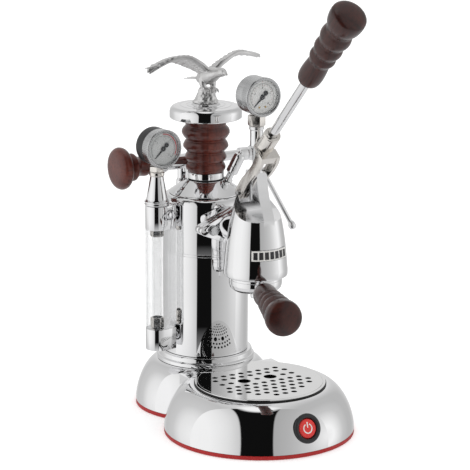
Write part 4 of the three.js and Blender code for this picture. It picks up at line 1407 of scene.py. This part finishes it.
def make_lever():
    collar = [
        (0, 60), (8.6, 60), (8.8, 61), (8.8, 82.4), (8.3, 83.0), (8.3, 83.5), (8.8, 84.0), (8.6, 85),
        (6.4, 85), (0, 85)
    ]
    fork = lathe("fork", collar, 64, LEVER @ at(0, 13.5), 0.25)
    cheek = arc(0, 0, 6.2, -math.pi, 0, 20) + spline(
        [(6.2, 0), (7.4, 15), (5.6, 32), (5.6, 48), (9, 57)], 4
    )[1:]
    cheek += [(9, 63.5)] + spline([(-2.6, 65), (-5.6, 57), (-6, 42), (-4.4, 24), (-5.8, 7)], 4)
    bridge = [(-4, 57.5), (19, 57.5), (19, 63.5), (-2.6, 65)]
    parts = [
        slab("cheek", cheek, 3.6, side * 9, LEVER) for side in (-1, 1)
    ] + [slab("bridge", bridge, 18, 0, LEVER)]
    for part in parts:
        combine(fork, [part], "UNION")
    bores = [
        disc_shape("socket", 5.3, 79, 95, 48, LEVER @ at(0, 13.5)),
        disc_shape("pin_hole", 2.8, -20, 20, 40, LEVER @ ALONG_X)
    ]
    way = disc_shape("post_way", 7.1, 35, 110, 64, LEVER @ turn(math.radians(5) - 0.775, "X") @ at(0, -18))
    combine(fork, bores + [way])
    fork.name = "lever_yoke"
    soften(fork, 0.55, 3, 40)
    keep(fork, "lever", "nickel", "lever_fork")
    pin = lathe(
        "lever_pin", [(0, -12.6), (2.5, -12.6), (2.5, 11.2), (4, 11.2), (4, 12.8), (3.2, 13.4), (0, 13.4)],
        48, LEVER @ ALONG_X, 0.3
    )
    keep(pin, "lever", "steel", "lever_pivot_pin")
    stem = lathe("lever_stem", [(0, 79.4), (5, 79.4), (5, 205.5), (0, 205.5)], 64, LEVER @ at(0, 13.5), 0.3)
    keep(stem, "lever", "chrome", "lever_tube")
    keep(wooden_handle("lever_wood", LEVER @ at(0, 13.5, 175.5), 5.3, 31), "lever", "wood", "lever_handle")


# ---- filter holder -----------------------------------------------------------------------------
HOLDER = GROUP @ turn(-0.335, "Z")


def make_holder():
    bowl = lathe(
        "holder_bowl",
        [
            (3.2, 150.6), (18, 150.6), (23.6, 151.6), (26.6, 154.4), (27.7, 158), (27.7, 162.8),
            (27.2, 163.2), (27.2, 171.4), (25.4, 171.4), (25.4, 157),
            (22.6, 153.8), (3.2, 153.2),
        ],
        128, HOLDER, 0.6,
    )
    spout = lathe("spout", [(3.2, 142), (4.6, 142), (5.2, 143), (5.2, 152), (3.2, 152)], 64, HOLDER, 0.3)
    combine(bowl, [spout], "UNION")
    out = HOLDER @ at(0, 0, 157.5) @ turn(math.pi / 2, "X")
    arm = lathe(
        "arm",
        [
            (0, 26.9), (6.0, 26.9), (5.5, 29.4), (5.4, 33), (7.6, 33.8), (8.4, 34.6), (8.4, 37.4),
            (7.8, 38.6), (4.5, 38.6), (4.5, 62), (0, 62)
        ],
        64, out, 0.3,
    )
    combine(bowl, [arm], "UNION")
    combine(bowl, [lathe("hollow", [(0, 157), (25.3, 157), (25.3, 175), (0, 175)], 96, HOLDER, 0)])
    bowl.name = "holder_body"
    keep(bowl, "filter_holder", "chrome", "filter_holder")
    keep(
        wooden_handle("holder_wood", out @ at(0, 0, 38.9), 4.8, 25.1, 0.93), "filter_holder", "wood",
        "filter_holder_handle"
    )
    basket = lathe(
        "basket",
        [
            (0, 154.6), (21.4, 154.6), (23.8, 156.4), (24.2, 171.7), (26.6, 171.7), (26.6, 172.1),
            (23.6, 172.1), (23.2, 157), (21.2, 155.4), (0, 155.4)
        ],
        96, GROUP, 0.2,
    )
    keep(basket, "filter_basket", "steel", "filter_basket")


make_base()
make_tray()
make_boiler()
make_cap()
make_bird()
make_sight_glass()
make_tap()
make_group()
make_piston()
make_lever()
make_holder()

# The solids that show as they are, and those inside, take the same finishes.
slots = {entry["node"]: entry["material_slot"] for entry in frame["record"]["subparts"]}
for node, solid in NODES.items():
    solid.data.materials.clear()
    solid.data.materials.append(MATERIALS[slots[node]])
